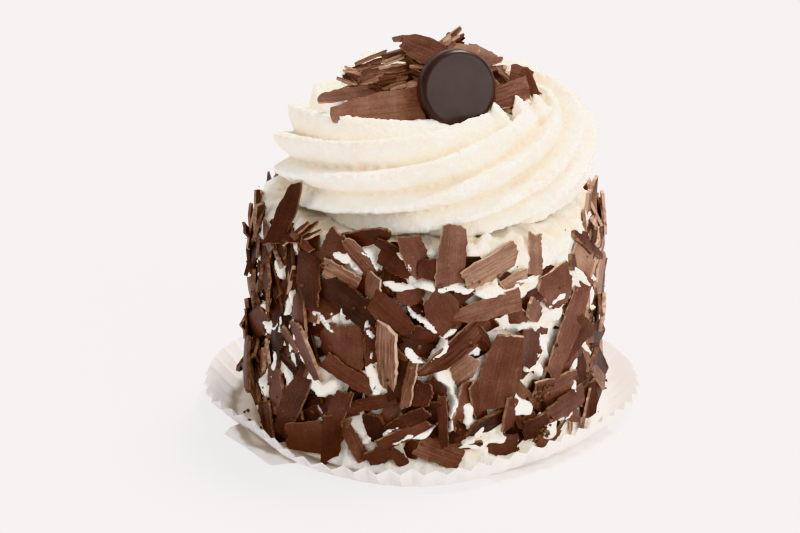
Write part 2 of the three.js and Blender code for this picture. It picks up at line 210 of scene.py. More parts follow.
def shaved_chocolate():
    material, tree, shader = new_material("Dark chocolate, shaved")
    look = add(tree, "Attribute", attribute_name="look")
    tone, grain, start = add(tree, "SeparateColor", {"Color": look}).outputs
    along = add(tree, "UVMap", uv_map="strip")
    stretched = add(tree, "Mapping", {"Vector": along, "Scale": (1 / 0.00045, 1 / 0.009, 1.0)})
    pattern = {"Vector": stretched, "W": start, "Scale": 1.0, "Detail": 4.0, "Roughness": 0.7}
    lines = add(tree, "TexNoise", pattern, noise_dimensions="4D")
    scored = add(tree, "MapRange", {"Value": lines, "From Min": 0.36, "From Max": 0.64})
    place = add(tree, "TexCoord").outputs["Object"]
    patches = add(tree, "TexNoise", {"Vector": place, "Scale": 1 / 0.006, "Detail": 5.0})
    dust = add(tree, "TexNoise", {"Vector": place, "Scale": 1 / 0.0005, "Detail": 2.0})

    # Each pattern adds its share of paleness to the tone of the piece, and the dust a few specks. The
    # broad patches are partly uneven tone and partly painted sheen, the soft pale gloss of curved faces.
    paleness = tone
    fibrous = add(tree, "Math", {0: grain, 1: 2.0}, operation="POWER")
    deep = add(tree, "Math", {0: fibrous, 1: 0.3, 2: 0.08}, operation="MULTIPLY_ADD")
    for pattern, share in ((scored, deep), (patches, 0.55), (dust, 0.2)):
        around_nil = add(tree, "Math", {0: pattern, 1: 0.5}, operation="SUBTRACT")
        paleness = add(tree, "Math", {0: around_nil, 1: share, 2: paleness}, operation="MULTIPLY_ADD")
    speck = add(tree, "MapRange", {"Value": dust, "From Min": 0.68, "From Max": 0.78, "To Max": 0.25})
    paleness = add(tree, "Math", {0: paleness, 1: speck}, operation="ADD")
    colours = add(tree, "ValToRGB", {"Fac": paleness})
    blend_stops(colours, SHAVING_TONES)
    depth = add(tree, "Math", {0: scored, 1: fibrous}, operation="MULTIPLY")
    ridged = add(tree, "Bump", {"Height": depth, "Strength": 0.9, "Distance": 0.00025})
    worn = add(tree, "Bump", {"Height": patches, "Strength": 0.5, "Distance": 0.0008, "Normal": ridged})
    dull = add(tree, "MapRange", {"Value": grain, "To Min": 0.4, "To Max": 0.7})
    set_inputs(tree, shader, {"Base Color": colours, "Normal": worn, "Roughness": dull, "IOR": 1.45})
    set_inputs(tree, shader, {"Specular IOR Level": 0.42, "Specular Tint": linear("#f4dccf")})
    return material


shaved = shaved_chocolate()

# %% [markdown]
# Where a shaving breaks, its edge is rough and paler than its faces, because the break runs between
# the crystals of cocoa butter. That edge is less than a millimetre thick, but it outlines every piece.


# %% Broken edges of the shavings
def broken_chocolate():
    material, tree, shader = new_material("Dark chocolate, broken edge")
    look = add(tree, "Attribute", attribute_name="look")
    tone = add(tree, "SeparateColor", {"Color": look})
    place = add(tree, "TexCoord").outputs["Object"]
    crumbs = add(tree, "TexNoise", {"Vector": place, "Scale": 1 / 0.0012, "Detail": 3.0})
    paler = add(tree, "Math", {0: crumbs, 1: 0.9, 2: tone}, operation="MULTIPLY_ADD")
    colours = add(tree, "ValToRGB", {"Fac": paler})
    blend_stops(colours, [(0.2, "#33201a"), (0.6, "#795947"), (0.95, "#ab8973"), (1.0, "#c4a590")])
    rough = add(tree, "Bump", {"Height": crumbs, "Strength": 0.7, "Distance": 0.0004})
    set_inputs(tree, shader, {"Base Color": colours, "Normal": rough, "Roughness": 0.72, "IOR": 1.45})
    set_inputs(tree, shader, {"Specular IOR Level": 0.3})
    return material


broken = broken_chocolate()

# %% [markdown]
# ### Moulded chocolate
#
# The disc was cast in a mould, so it is even, almost black, and has the satin gloss of tempered
# chocolate. Very shallow waves, about five millimetres long, break up its reflections.


# %% Moulded chocolate
def moulded_chocolate():
    material, tree, shader = new_material("Dark chocolate, tempered and moulded")
    place = add(tree, "TexCoord").outputs["Object"]
    bloom = add(tree, "TexNoise", {"Vector": place, "Scale": 1 / 0.005, "Detail": 4.0})
    colours = add(tree, "ValToRGB", {"Fac": bloom})
    blend_stops(colours, [(0.3, "#2b1b17"), (0.7, "#35231e")])
    wavy = add(tree, "Bump", {"Height": bloom, "Strength": 0.12, "Distance": 0.0005})
    set_inputs(tree, shader, {"Base Color": colours, "Normal": wavy, "Roughness": 0.38, "IOR": 1.5})
    set_inputs(tree, shader, {"Specular IOR Level": 0.38})
    return material


moulded = moulded_chocolate()

# %% [markdown]
# ### Greaseproof paper
#
# The case is pressed from thin white greaseproof paper. It is matt, it lets some light through, so
# its shaded folds stay pale, and where cream has touched it the paper is a little darker and warmer.
# Butter has seeped into it close to the cake and wrinkled it in rings. That darker, warmer colour is
# partly grease and partly painted shade, strongest on the left, where the cake's shadow falls.


# %% Paper
def greaseproof_paper():
    material, tree, shader = new_material("Greaseproof paper, pleated")
    place = add(tree, "TexCoord").outputs["Object"]
    fibres = add(tree, "TexNoise", {"Vector": place, "Scale": 1 / 0.003, "Detail": 5.0})
    dry = add(tree, "ValToRGB", {"Fac": fibres})
    blend_stops(dry, [(0.3, "#fbf8f6"), (0.7, "#fffefd")])

    # Distance from the axis, made uneven and slanted to the left, says where grease and painted shade reach.
    flat = add(tree, "VectorMath", {0: place, 1: (1, 1, 0)}, operation="MULTIPLY")
    far = add(tree, "VectorMath", {0: flat}, operation="LENGTH").outputs["Value"]
    patches = add(tree, "TexNoise", {"Vector": place, "Scale": 1 / 0.012, "Detail": 3.0})
    edge = add(tree, "Math", {0: patches, 1: 0.006, 2: far}, operation="MULTIPLY_ADD")
    right, _, up = add(tree, "SeparateXYZ", {"Vector": place}).outputs
    slanted = add(tree, "Math", {0: right, 1: 0.06, 2: edge}, operation="MULTIPLY_ADD")
    inside = add(tree, "MapRange", {"Value": slanted, "From Min": 0.0457, "From Max": 0.0447})
    low = add(tree, "MapRange", {"Value": up, "From Min": 0.0026, "From Max": 0.0018})
    soaked_and_shaded = add(tree, "Math", {0: inside, 1: low}, operation="MULTIPLY")
    pattern = {"Vector": place, "Scale": 1 / 0.02, "Distortion": 4.0, "Detail": 2.0, "Detail Scale": 1.5}
    rings = add(tree, "TexWave", pattern, wave_type="RINGS", rings_direction="Z").outputs["Fac"]
    # Grease and painted shade: the paper close to the cake takes darker, warmer colours in rings.
    wet_and_shaded = add(tree, "ValToRGB", {"Fac": rings})
    blend_stops(wet_and_shaded, [(0.15, "#dad0c5"), (0.7, "#f4ede5")])
    colours = add(tree, "Mix", {"Factor": soaked_and_shaded, 6: dry, 7: wet_and_shaded}, data_type="RGBA").outputs[2]
    creased = add(tree, "Bump", {"Height": fibres, "Strength": 0.2, "Distance": 0.0003})
    folds = {"Height": rings, "Strength": soaked_and_shaded, "Distance": 0.0005, "Normal": creased}
    wrinkled = add(tree, "Bump", folds)
    set_inputs(tree, shader, {"Base Color": colours, "Normal": wrinkled, "Roughness": 0.5})
    through = add(tree, "BsdfTranslucent", {"Color": colours, "Normal": wrinkled})
    both = add(tree, "MixShader", {0: 0.5, 1: shader, 2: through})
    set_inputs(tree, tree.nodes["Material Output"], {"Surface": both})
    return material


paper = greaseproof_paper()

# %% [markdown]
# ## Putting a piece in the scene
#
# Every piece is built as a bmesh in millimetres. This function scales it, makes it an object that
# rides with the cake, gives it its materials and hides the imported solid that it stands for.


# %% Finishing a piece
def as_mesh(shape, name):
    """Turns a bmesh into a mesh and frees it."""
    mesh = bpy.data.meshes.new(name)
    shape.to_mesh(mesh)
    shape.free()
    return mesh


def finish_piece(name, shape, materials, stands_for):
    bmesh.ops.scale(shape, vec=(MM, MM, MM), verts=shape.verts)
    mesh = as_mesh(shape, name)
    for material in materials:
        mesh.materials.append(material)
    piece = show(name, mesh)
    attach(piece, "root")
    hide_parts(stands_for)
    triangles = sum(len(face.vertices) - 2 for face in mesh.polygons)
    places = numpy.array([vert.co[:] for vert in mesh.vertices]) / MM
    low, high = places.min(axis=0).round(1), places.max(axis=0).round(1)
    print(name, "has", triangles, "triangles, from", low, "to", high)
    return piece


# %% [markdown]
# ## The paper case
#
# The real case starts as a flat disc of paper that a ribbed die presses into a shallow tray. The same
# steps work here: a circle is filled for the floor, its rim is extruded outwards ring by ring, and
# the rings of the wall are pushed in and out to make sixty sharp pleats. Handling has bent it: the
# cake sits a little back in it, the wall stands up in front and lies low on both sides.

# %% How the case is bent
# Each row is where, in degrees from +X, and over how many degrees to either side, then what it adds
# to the radius of the fold, to the radius of the rim and to the height of the rim.
BENDS = [
    (-148, 19, -2.6, -4.3, 1.7),
    (-96, 20, 2.0, -1.1, 0.3),
    (-63, 17, -1.6, -3.8, 0.5),
    (-36, 23, -2.5, -4.5, 1.5),
    (28, 34, 0.4, 0.4, 1.7),
    (95, 40, -0.4, -1.2, 0.0),
    (157, 30, 0.0, 0.8, 2.4),
]


def bent(angle):
    """Radius of the fold, radius of the rim and height of the rim at an angle in radians."""
    sizes = [CASE["fold"], CASE["rim"], CASE["high"]]
    for at, wide, *added in BENDS:
        away = (math.degrees(angle) - at + 180) % 360 - 180
        share = math.exp(-((away / wide) ** 2))
        sizes = [size + share * more for size, more in zip(sizes, added)]
    return sizes


# %% Pleated wall
def case_point(angle, share):
    """A point of the case's wall, from the fold (share 0) to the rim (share 1)."""
    fold, rim, height = bent(angle)
    slope = math.atan2(height, rim - fold)
    ruffle = noise.noise(Vector((6 * math.cos(angle), 6 * math.sin(angle), 5.0)))
    pleat = math.asin(math.cos(CASE["pleats"] * angle)) * 2 / math.pi
    out = 0.5 * CASE["pleat"] * (1.1 + 0.55 * ruffle) * min(1.0, 0.2 + share) * pleat
    radius = fold + (rim - fold) * share + out * math.sin(slope)
    up = share**1.15 * (height + 0.5 * ruffle) - out * math.cos(slope) * min(1.0, 3 * share)
    return Vector((radius * math.cos(angle), radius * math.sin(angle), max(0.02, up)))


def next_ring(shape, edges):
    """Extrudes a ring of edges: the points and the edges of the new ring."""
    made = bmesh.ops.extrude_edge_only(shape, edges=edges)["geom"]
    ring = {item for item in made if isinstance(item, bmesh.types.BMVert)}
    return ring, [e for e in made if isinstance(e, bmesh.types.BMEdge) and all(v in ring for v in e.verts)]


def paper_case():
    shape = bmesh.new()
    bmesh.ops.create_circle(shape, cap_ends=True, radius=CASE["fold"] - 1, segments=8 * CASE["pleats"])
    edges = shape.edges[:]
    for share in (0.0, 0.15, 0.3, 0.45, 0.6, 0.75, 0.9, 1.0):
        ring, edges = next_ring(shape, edges)
        for vert in ring:
            vert.co = case_point(math.atan2(vert.co.y, vert.co.x), share)
    floor = [face for face in shape.faces if len(face.verts) > 4]
    bmesh.ops.inset_region(shape, faces=floor, thickness=6)
    bmesh.ops.recalc_face_normals(shape, faces=shape.faces)
    bmesh.ops.solidify(shape, geom=shape.faces[:], thickness=-CASE["paper"])
    for vert in shape.verts:  # thickness stretches the sharpest folds too far
        _, rim, height = bent(math.atan2(vert.co.y, vert.co.x))
        vert.co.xy *= min(1.0, (rim + 0.8) / max(1.0, math.hypot(vert.co.x, vert.co.y)))
        vert.co.z = min(vert.co.z, height + 1.2)
    low = min(vert.co.z for vert in shape.verts)
    bmesh.ops.translate(shape, vec=(0, 0, -low), verts=shape.verts)
    finish_piece("paper_case_pleated", shape, [paper], "paper_case")


paper_case()

# %% [markdown]
# ## Hollows
#
# Cream is painted darker and warmer in its creases, as painted shade, so its pieces say how deep each
# point lies in one. Every point is moved to the middle of its neighbours again and again, and the way
# that the last rounds still move it, measured along its normal, is how deep it lies.


# %% Measuring hollows
def hollows(shape, rounds):
    """How far each point lies below its surroundings, in millimetres, and above them if negative."""
    shape.verts.index_update()
    places = numpy.array([vert.co[:] for vert in shape.verts])
    normals = numpy.array([vert.normal[:] for vert in shape.verts])
    pairs = numpy.array([[vert.index for vert in edge.verts] for edge in shape.edges])
    both = numpy.concatenate([pairs, pairs[:, ::-1]])
    number = numpy.bincount(both[:, 0], minlength=len(places))[:, None]
    smooth = places
    for step in range(rounds):
        sums = [numpy.bincount(both[:, 0], smooth[both[:, 1], i], len(places)) for i in (0, 1, 2)]
        smooth = (smooth + numpy.stack(sums, axis=1) / number) / 2
        if step == rounds // 4:  # what is finer than this is roughness, not a hollow
            near = smooth
    return ((smooth - near) * normals).sum(axis=1)


def finish_cream(name, shape, stands_for, rounds, deepest, crease):
    """Finishes a piece of cream, with painted shade in its creases. A function gives the depth of a crease
    that it makes with another.
    """
    for face in shape.faces:
        face.smooth = True
    shape.normal_update()
    crease_shade_depths = hollows(shape, rounds) + [crease(vert.co) for vert in shape.verts]
    piece = finish_piece(name, shape, [cream], stands_for)
    # Painted shade: how deep each point lies in a crease is kept for the cream's colour, which turns darker
    # and warmer there.
    marks = piece.data.attributes.new("painted_crease_shade", "FLOAT", "POINT")
    marks.data.foreach_set("value", numpy.clip(crease_shade_depths / deepest, 0, 1))


# %% [markdown]
# ## The coat of cream
#
# The cake is hidden under a coat of cream that was spread with a palette knife and then pressed into
# a tray of shavings, so cream is squeezed up between them. A profile is spun round the axis, and its
# points are then moved in and out: by slow swells, by quick ridges, and to the ridges of cream that
# show between the largest shavings, which are measured once those are laid.


# %% Profile of the coat
def wall_radius(height):
    """The radius of the coat at a height, with its rounded shoulder."""
    belly = (CAKE["low"] + CAKE["high"]) / 2
    end = CAKE["foot"] if height < belly else CAKE["top"]
    away = abs(height - belly) / (CAKE["high"] - belly)
    wall = CAKE["belly"] + (end - CAKE["belly"]) * away * away
    over = max(0.0, height - (CAKE["high"] - CAKE["shoulder"]))
    return wall - CAKE["shoulder"] + math.sqrt(max(0.0, CAKE["shoulder"] ** 2 - over**2))


def coat_profile():
    """Points from the middle of the underside, up the wall and back to the middle of the top."""
    heights = [*numpy.linspace(CAKE["low"] + 0.4, CAKE["high"] - CAKE["shoulder"], 95)]
    shoulder = numpy.sin(numpy.radians(numpy.linspace(10, 90, 9)))
    heights += [*(CAKE["high"] - CAKE["shoulder"] * (1 - shoulder))]
    points = [(0.0, CAKE["low"]), (30.0, CAKE["low"])] + [(wall_radius(height), height) for height in heights]
    return points + [(radius, CAKE["high"]) for radius in (*numpy.linspace(32, 4, 10), 0.0)]


def spun(points, steps):
    """A profile of radii and heights spun once round the axis, in a new bmesh."""
    shape = bmesh.new()
    profile = [shape.verts.new((radius, 0, height)) for radius, height in points]
    wire = [shape.edges.new(pair) for pair in zip(profile, profile[1:])]
    turn = {"axis": (0, 0, 1), "cent": (0, 0, 0), "angle": 2 * math.pi, "steps": steps, "use_merge": True}
    bmesh.ops.spin(shape, geom=profile + wire, **turn)
    bmesh.ops.remove_doubles(shape, verts=shape.verts, dist=0.001)
    return shape


# %% Swells and ridges
def coat_swell(place):
    """How far the coat swells out at a place before the shavings are pressed in, in millimetres."""
    return 0.35 * noise.noise(place * 0.09) + 0.4 * (1.0 - abs(noise.noise(place * 0.17)) * 2.4) - 0.4


def coat_noise(place):
    """The same once they are pressed in: cream is squeezed up in narrow, winding ridges."""
    ridge = max(0.0, 1.0 - 4.5 * abs(noise.noise(place * 0.15 + Vector((7, 3, 1)))))
    folds = max(0.0, 1.0 - 3.5 * abs(noise.noise(place * 0.34)))
    here = 0.6 + 0.6 * noise.noise(place * 0.08 + Vector((3, 9, 4)))
    column = round(math.atan2(place.x, -place.y) * UNROLLED) % COLUMNS
    here *= free[column, min(ROWS - 1, max(0, round(place.z)))]
    return coat_swell(place) + (1.7 * ridge + 0.8 * folds) * here + 0.16 * noise.noise(place * 0.7)


def squeeze_up(vert):
    """Lifts a point of the wall to where cream is squeezed up between the shavings."""
    distance = math.hypot(vert.co.x, vert.co.y)
    if distance < 34 or vert.co.z > CAKE["high"] - 0.5:
        return
    column, row = math.atan2(vert.co.x, -vert.co.y) * UNROLLED / CELL, vert.co.z / CELL
    left, low = math.floor(column), math.floor(row)
    share = 0.0  # read between the four cells around the point
    for c, r in ((left, low), (left + 1, low), (left, low + 1), (left + 1, low + 1)):
        part = (1 - abs(column - c)) * (1 - abs(row - r))
        share += part * ridge_shares[c % ridge_shares.shape[0], r]
    level = UNROLLED + ridge_levels[round(column) % ridge_shares.shape[0], round(row)]
    level += 0.2 * noise.noise(vert.co * 0.8)
    if share > 0 and level > distance:
        vert.co.xy *= 1 + share * (level / distance - 1)


# %% Coat of cream
def smear(vert):
    """Spreads the foot of the coat over the paper, most of all in front."""
    angle = math.atan2(vert.co.y, vert.co.x)
    near = max(0.0, 1 - vert.co.z / 4.5) ** 1.6 * (math.hypot(vert.co.x, vert.co.y) > 36)
    smeared = min(1.0, max(0.0, -0.3 - 1.6 * math.sin(angle) + noise.noise(vert.co * 0.12)))
    further = max(0.0, bent(angle)[0] - 1.0 - CAKE["foot"]) * near * smeared
    vert.co += Vector((math.cos(angle), math.sin(angle), 0)) * further


def rosette_crease_shade(place):
    """The painted shade all round, in the crease where the rosette is pressed onto the coat."""
    far = math.hypot(place.x - ROPE["x"], place.y)
    return 0.4 * max(0.0, 1 - abs(far - ROPE["pressed"]) / 3.5) * (place.z > 49)


def coat():
    shape = spun(coat_profile(), 500)
    bmesh.ops.recalc_face_normals(shape, faces=shape.faces)
    shape.normal_update()
    moved = [(vert, vert.normal * coat_noise(vert.co)) for vert in shape.verts if vert.co.z > 1.2]
    for vert, way in moved:
        vert.co += way
        squeeze_up(vert)
    for vert in shape.verts:
        smear(vert)
    bmesh.ops.translate(shape, vec=(CAKE["x"], 0, 0), verts=shape.verts)
    finish_cream("cream_coat", shape, "cake_with_shavings", 12, 0.5, rosette_crease_shade)


# %% [markdown]
# ## One shaving
#
# A shaving is a grid that is cut to a ragged outline, given a millimetre of thickness and then bent
# along and across, like the strip that a knife lifts. The outline is decided by a few numbers: its
# length and width, and how wide each broken end is. Each is made in a bmesh of its own and joined to
# the others as it is placed.


# %% Cutting one shaving
def lay_out(shape, start=(0, 0)):
    """Gives a flat shape its UV map, in metres across and along the strip."""
    strip = shape.loops.layers.uv.new("strip")
    for face in shape.faces:
        for loop in face.loops:
            loop[strip].uv = ((loop.vert.co.x + start[0]) * MM, (loop.vert.co.y + start[1]) * MM)


def cut_shaving(long, wide, tail, head, thick, detail, draw):
    """A flat shaving in a bmesh of its own, its length along Y, with its broken edges marked."""
    shape = bmesh.new()
    bmesh.ops.create_grid(shape, x_segments=detail[0], y_segments=detail[1], size=0.5)
    knots = (-0.5, -0.22, 0.12, 0.5)
    wobble = [[draw(-0.1, 0.1) for _ in knots] for _ in range(2)]
    slants = (draw(-0.6, 0.6), draw(-0.6, 0.6))
    notch = [draw(-0.05, 0.05) for _ in range(4)]  # the last one only keeps the order of the draws
    shoulder = draw(0.2, 0.38)
    ragged = [[0.4 * draw(-1, 1) ** 3 * min(1, wide / 3) for _ in range(detail[1] + 1)] for _ in range(2)]
    chipped = [[0.5 * draw(-1, 1) ** 3 for _ in range(detail[0] + 1)] for _ in range(2)]
    for vert in shape.verts:
        u, v, _ = vert.co
        broken_end = head if v > 0 else tail
        share = float(numpy.interp(abs(v), (0, shoulder, 0.5), (1, 0.7 + 0.3 * broken_end, broken_end)))
        side = float(numpy.interp(v, knots, wobble[u > 0])) * abs(2 * u)
        end = numpy.interp(u, (-0.5, 0, 0.5), notch[:3]) * abs(2 * v) ** 4
        x = (u * share + math.copysign(side, u)) * wide
        y = v * long + slants[v > 0] * abs(2 * v) ** 3 * u * wide * share + end * min(long, 10)
        x += math.copysign(ragged[u > 0][round((v + 0.5) * detail[1])] * (2 * u) ** 2, u)
        y += math.copysign(chipped[v > 0][round((u + 0.5) * detail[0])] * (2 * v) ** 4, v)
        vert.co = (x, y, 0)
    if wide > 1.8:
        for face in bmesh.ops.inset_region(shape, faces=shape.faces[:], thickness=0.16, depth=0.1)["faces"]:
            face.material_index = 1
    start = (draw(0, 50), draw(0, 50))
    bmesh.ops.solidify(shape, geom=shape.faces[:], thickness=thick)
    low = min(vert.co.z for vert in shape.verts)
    bmesh.ops.translate(shape, vec=(0, 0, -low), verts=shape.verts)
    shape.normal_update()
    for face in shape.faces:
        if abs(face.normal.z) < 0.6:
            face.material_index = 1
    lay_out(shape, start)
    return shape


def bend_shaving(shape, curl, gutter, twist):
    """Bends a flat shaving: curl is one over its radius along, gutter the same across, twist in radians."""
    for vert in shape.verts:
        x, y, z = vert.co
        if abs(gutter) > 1e-4:
            turn = x * gutter
            x, z = (1 / gutter - z) * math.sin(turn), 1 / gutter - (1 / gutter - z) * math.cos(turn)
        if abs(curl) > 1e-4:
            turn = y * curl
            y, z = (1 / curl - z) * math.sin(turn), 1 / curl - (1 / curl - z) * math.cos(turn)
        turn = twist * y / 10
        x, z = x * math.cos(turn) - z * math.sin(turn), x * math.sin(turn) + z * math.cos(turn)
        vert.co = (x, y, z)


def join_shaving(everything, shape, place, look):
    """Moves a shaving into place, marks its look and adds it to the bmesh that holds them all."""
    bmesh.ops.transform(shape, matrix=place, verts=shape.verts)
    mesh = as_mesh(shape, "shaving")
    marks = mesh.attributes.new("look", "FLOAT_COLOR", "POINT")
    marks.data.foreach_set("color", [*look, 1.0] * len(mesh.vertices))
    everything.from_mesh(mesh)
    bpy.data.meshes.remove(mesh)


# %% [markdown]
# ## Laying shavings on each other
#
# Shavings don't sink through one another: each rests on those below it and tilts with them. To get
# that, the cake's side is unrolled into a field of one-millimetre cells that hold how far out the
# surface stands. A new shaving finds the plane that fits its cells, tilts with it, and then raises
# the field to its own outer face.


# %% A field that shavings rest on
def lay(field, middle, size, lean, curve, sink, tilt, thick):
    """Lays a flat piece on the field and raises it: its height and its slopes across and along.

    The surface falls away across it by curve times the square of the distance. The piece sinks in
    by sink, and tilt is added to the slopes of the surface.
    """
    long, wide = size
    xs = numpy.linspace(-0.5, 0.5, max(3, round(wide) + 1)) * wide
    ys = numpy.linspace(-0.5, 0.5, max(4, round(long) + 1)) * long
    x, y = (part.ravel() for part in numpy.meshgrid(xs, ys))
    turn = math.radians(lean)
    across = x * math.cos(turn) + y * math.sin(turn)
    up = -x * math.sin(turn) + y * math.cos(turn)
    columns = numpy.round(middle[0] + across).astype(int) % field.shape[0]
    rows = numpy.clip(numpy.round(middle[1] + up).astype(int), 0, field.shape[1] - 1)
    heights = field[columns, rows] - curve * across**2
    table = numpy.stack([numpy.ones_like(x), x, y], axis=1)
    fit = numpy.linalg.lstsq(table, heights, rcond=None)[0]
    slope_x = float(numpy.clip(0.7 * fit[1], -0.3, 0.3)) + tilt[0]
    slope_y = float(numpy.clip(0.7 * fit[2], -0.2, 0.2)) + tilt[1]
    height = float(numpy.quantile(heights - slope_x * x - slope_y * y, 0.8)) - sink
    top = height + slope_x * x + slope_y * y + thick + curve * across**2
    numpy.maximum.at(field, (columns, rows), top)
    return height, slope_x, slope_y


def tilted(slope_x, slope_y):
    """The rotation of a piece that slopes across and along."""
    along = Vector((0, 1, slope_y)).normalized()
    out = Vector((1, 0, slope_x)).cross(Vector((0, 1, slope_y))).normalized()
    return Matrix((along.cross(out), along, out)).transposed().to_4x4()


# %% A shaving laid from a listed row
def lay_by_hand(everything, row, draw):
    """Places one shaving by its middle and three turns.

    Its row is x, y and height of its middle, length, width, and in degrees the heading of its length
    from +X, its climb and its roll, then how wide its two ends are, how pale it is, how deep its
    lines are and its curl, which is one over the radius of its bend.
    """
    x, y, up, long, wide, heading, climb, roll, tail, head, tone, grain, curl = row
    thick = draw(0.6, 1.0) if wide > 2 else draw(0.45, 0.7)
    shape = cut_shaving(long, wide, tail, head, thick, (5, 10) if wide > 2.5 else (2, 8), draw)
    narrow = 1 if wide > 2 else 5
    bend_shaving(shape, curl + draw(-0.01, 0.01), draw(-0.04, 0.04) * narrow, draw(-0.1, 0.1) * narrow**0.5)
    whole = Matrix.Translation((x, y, up))
    for turn, axis in ((heading, "Z"), (-climb, "Y"), (roll, "X"), (-90, "Z")):
        whole = whole @ Matrix.Rotation(math.radians(turn), 4, axis)
    join_shaving(everything, shape, whole, (tone, grain, draw(0, 9)))
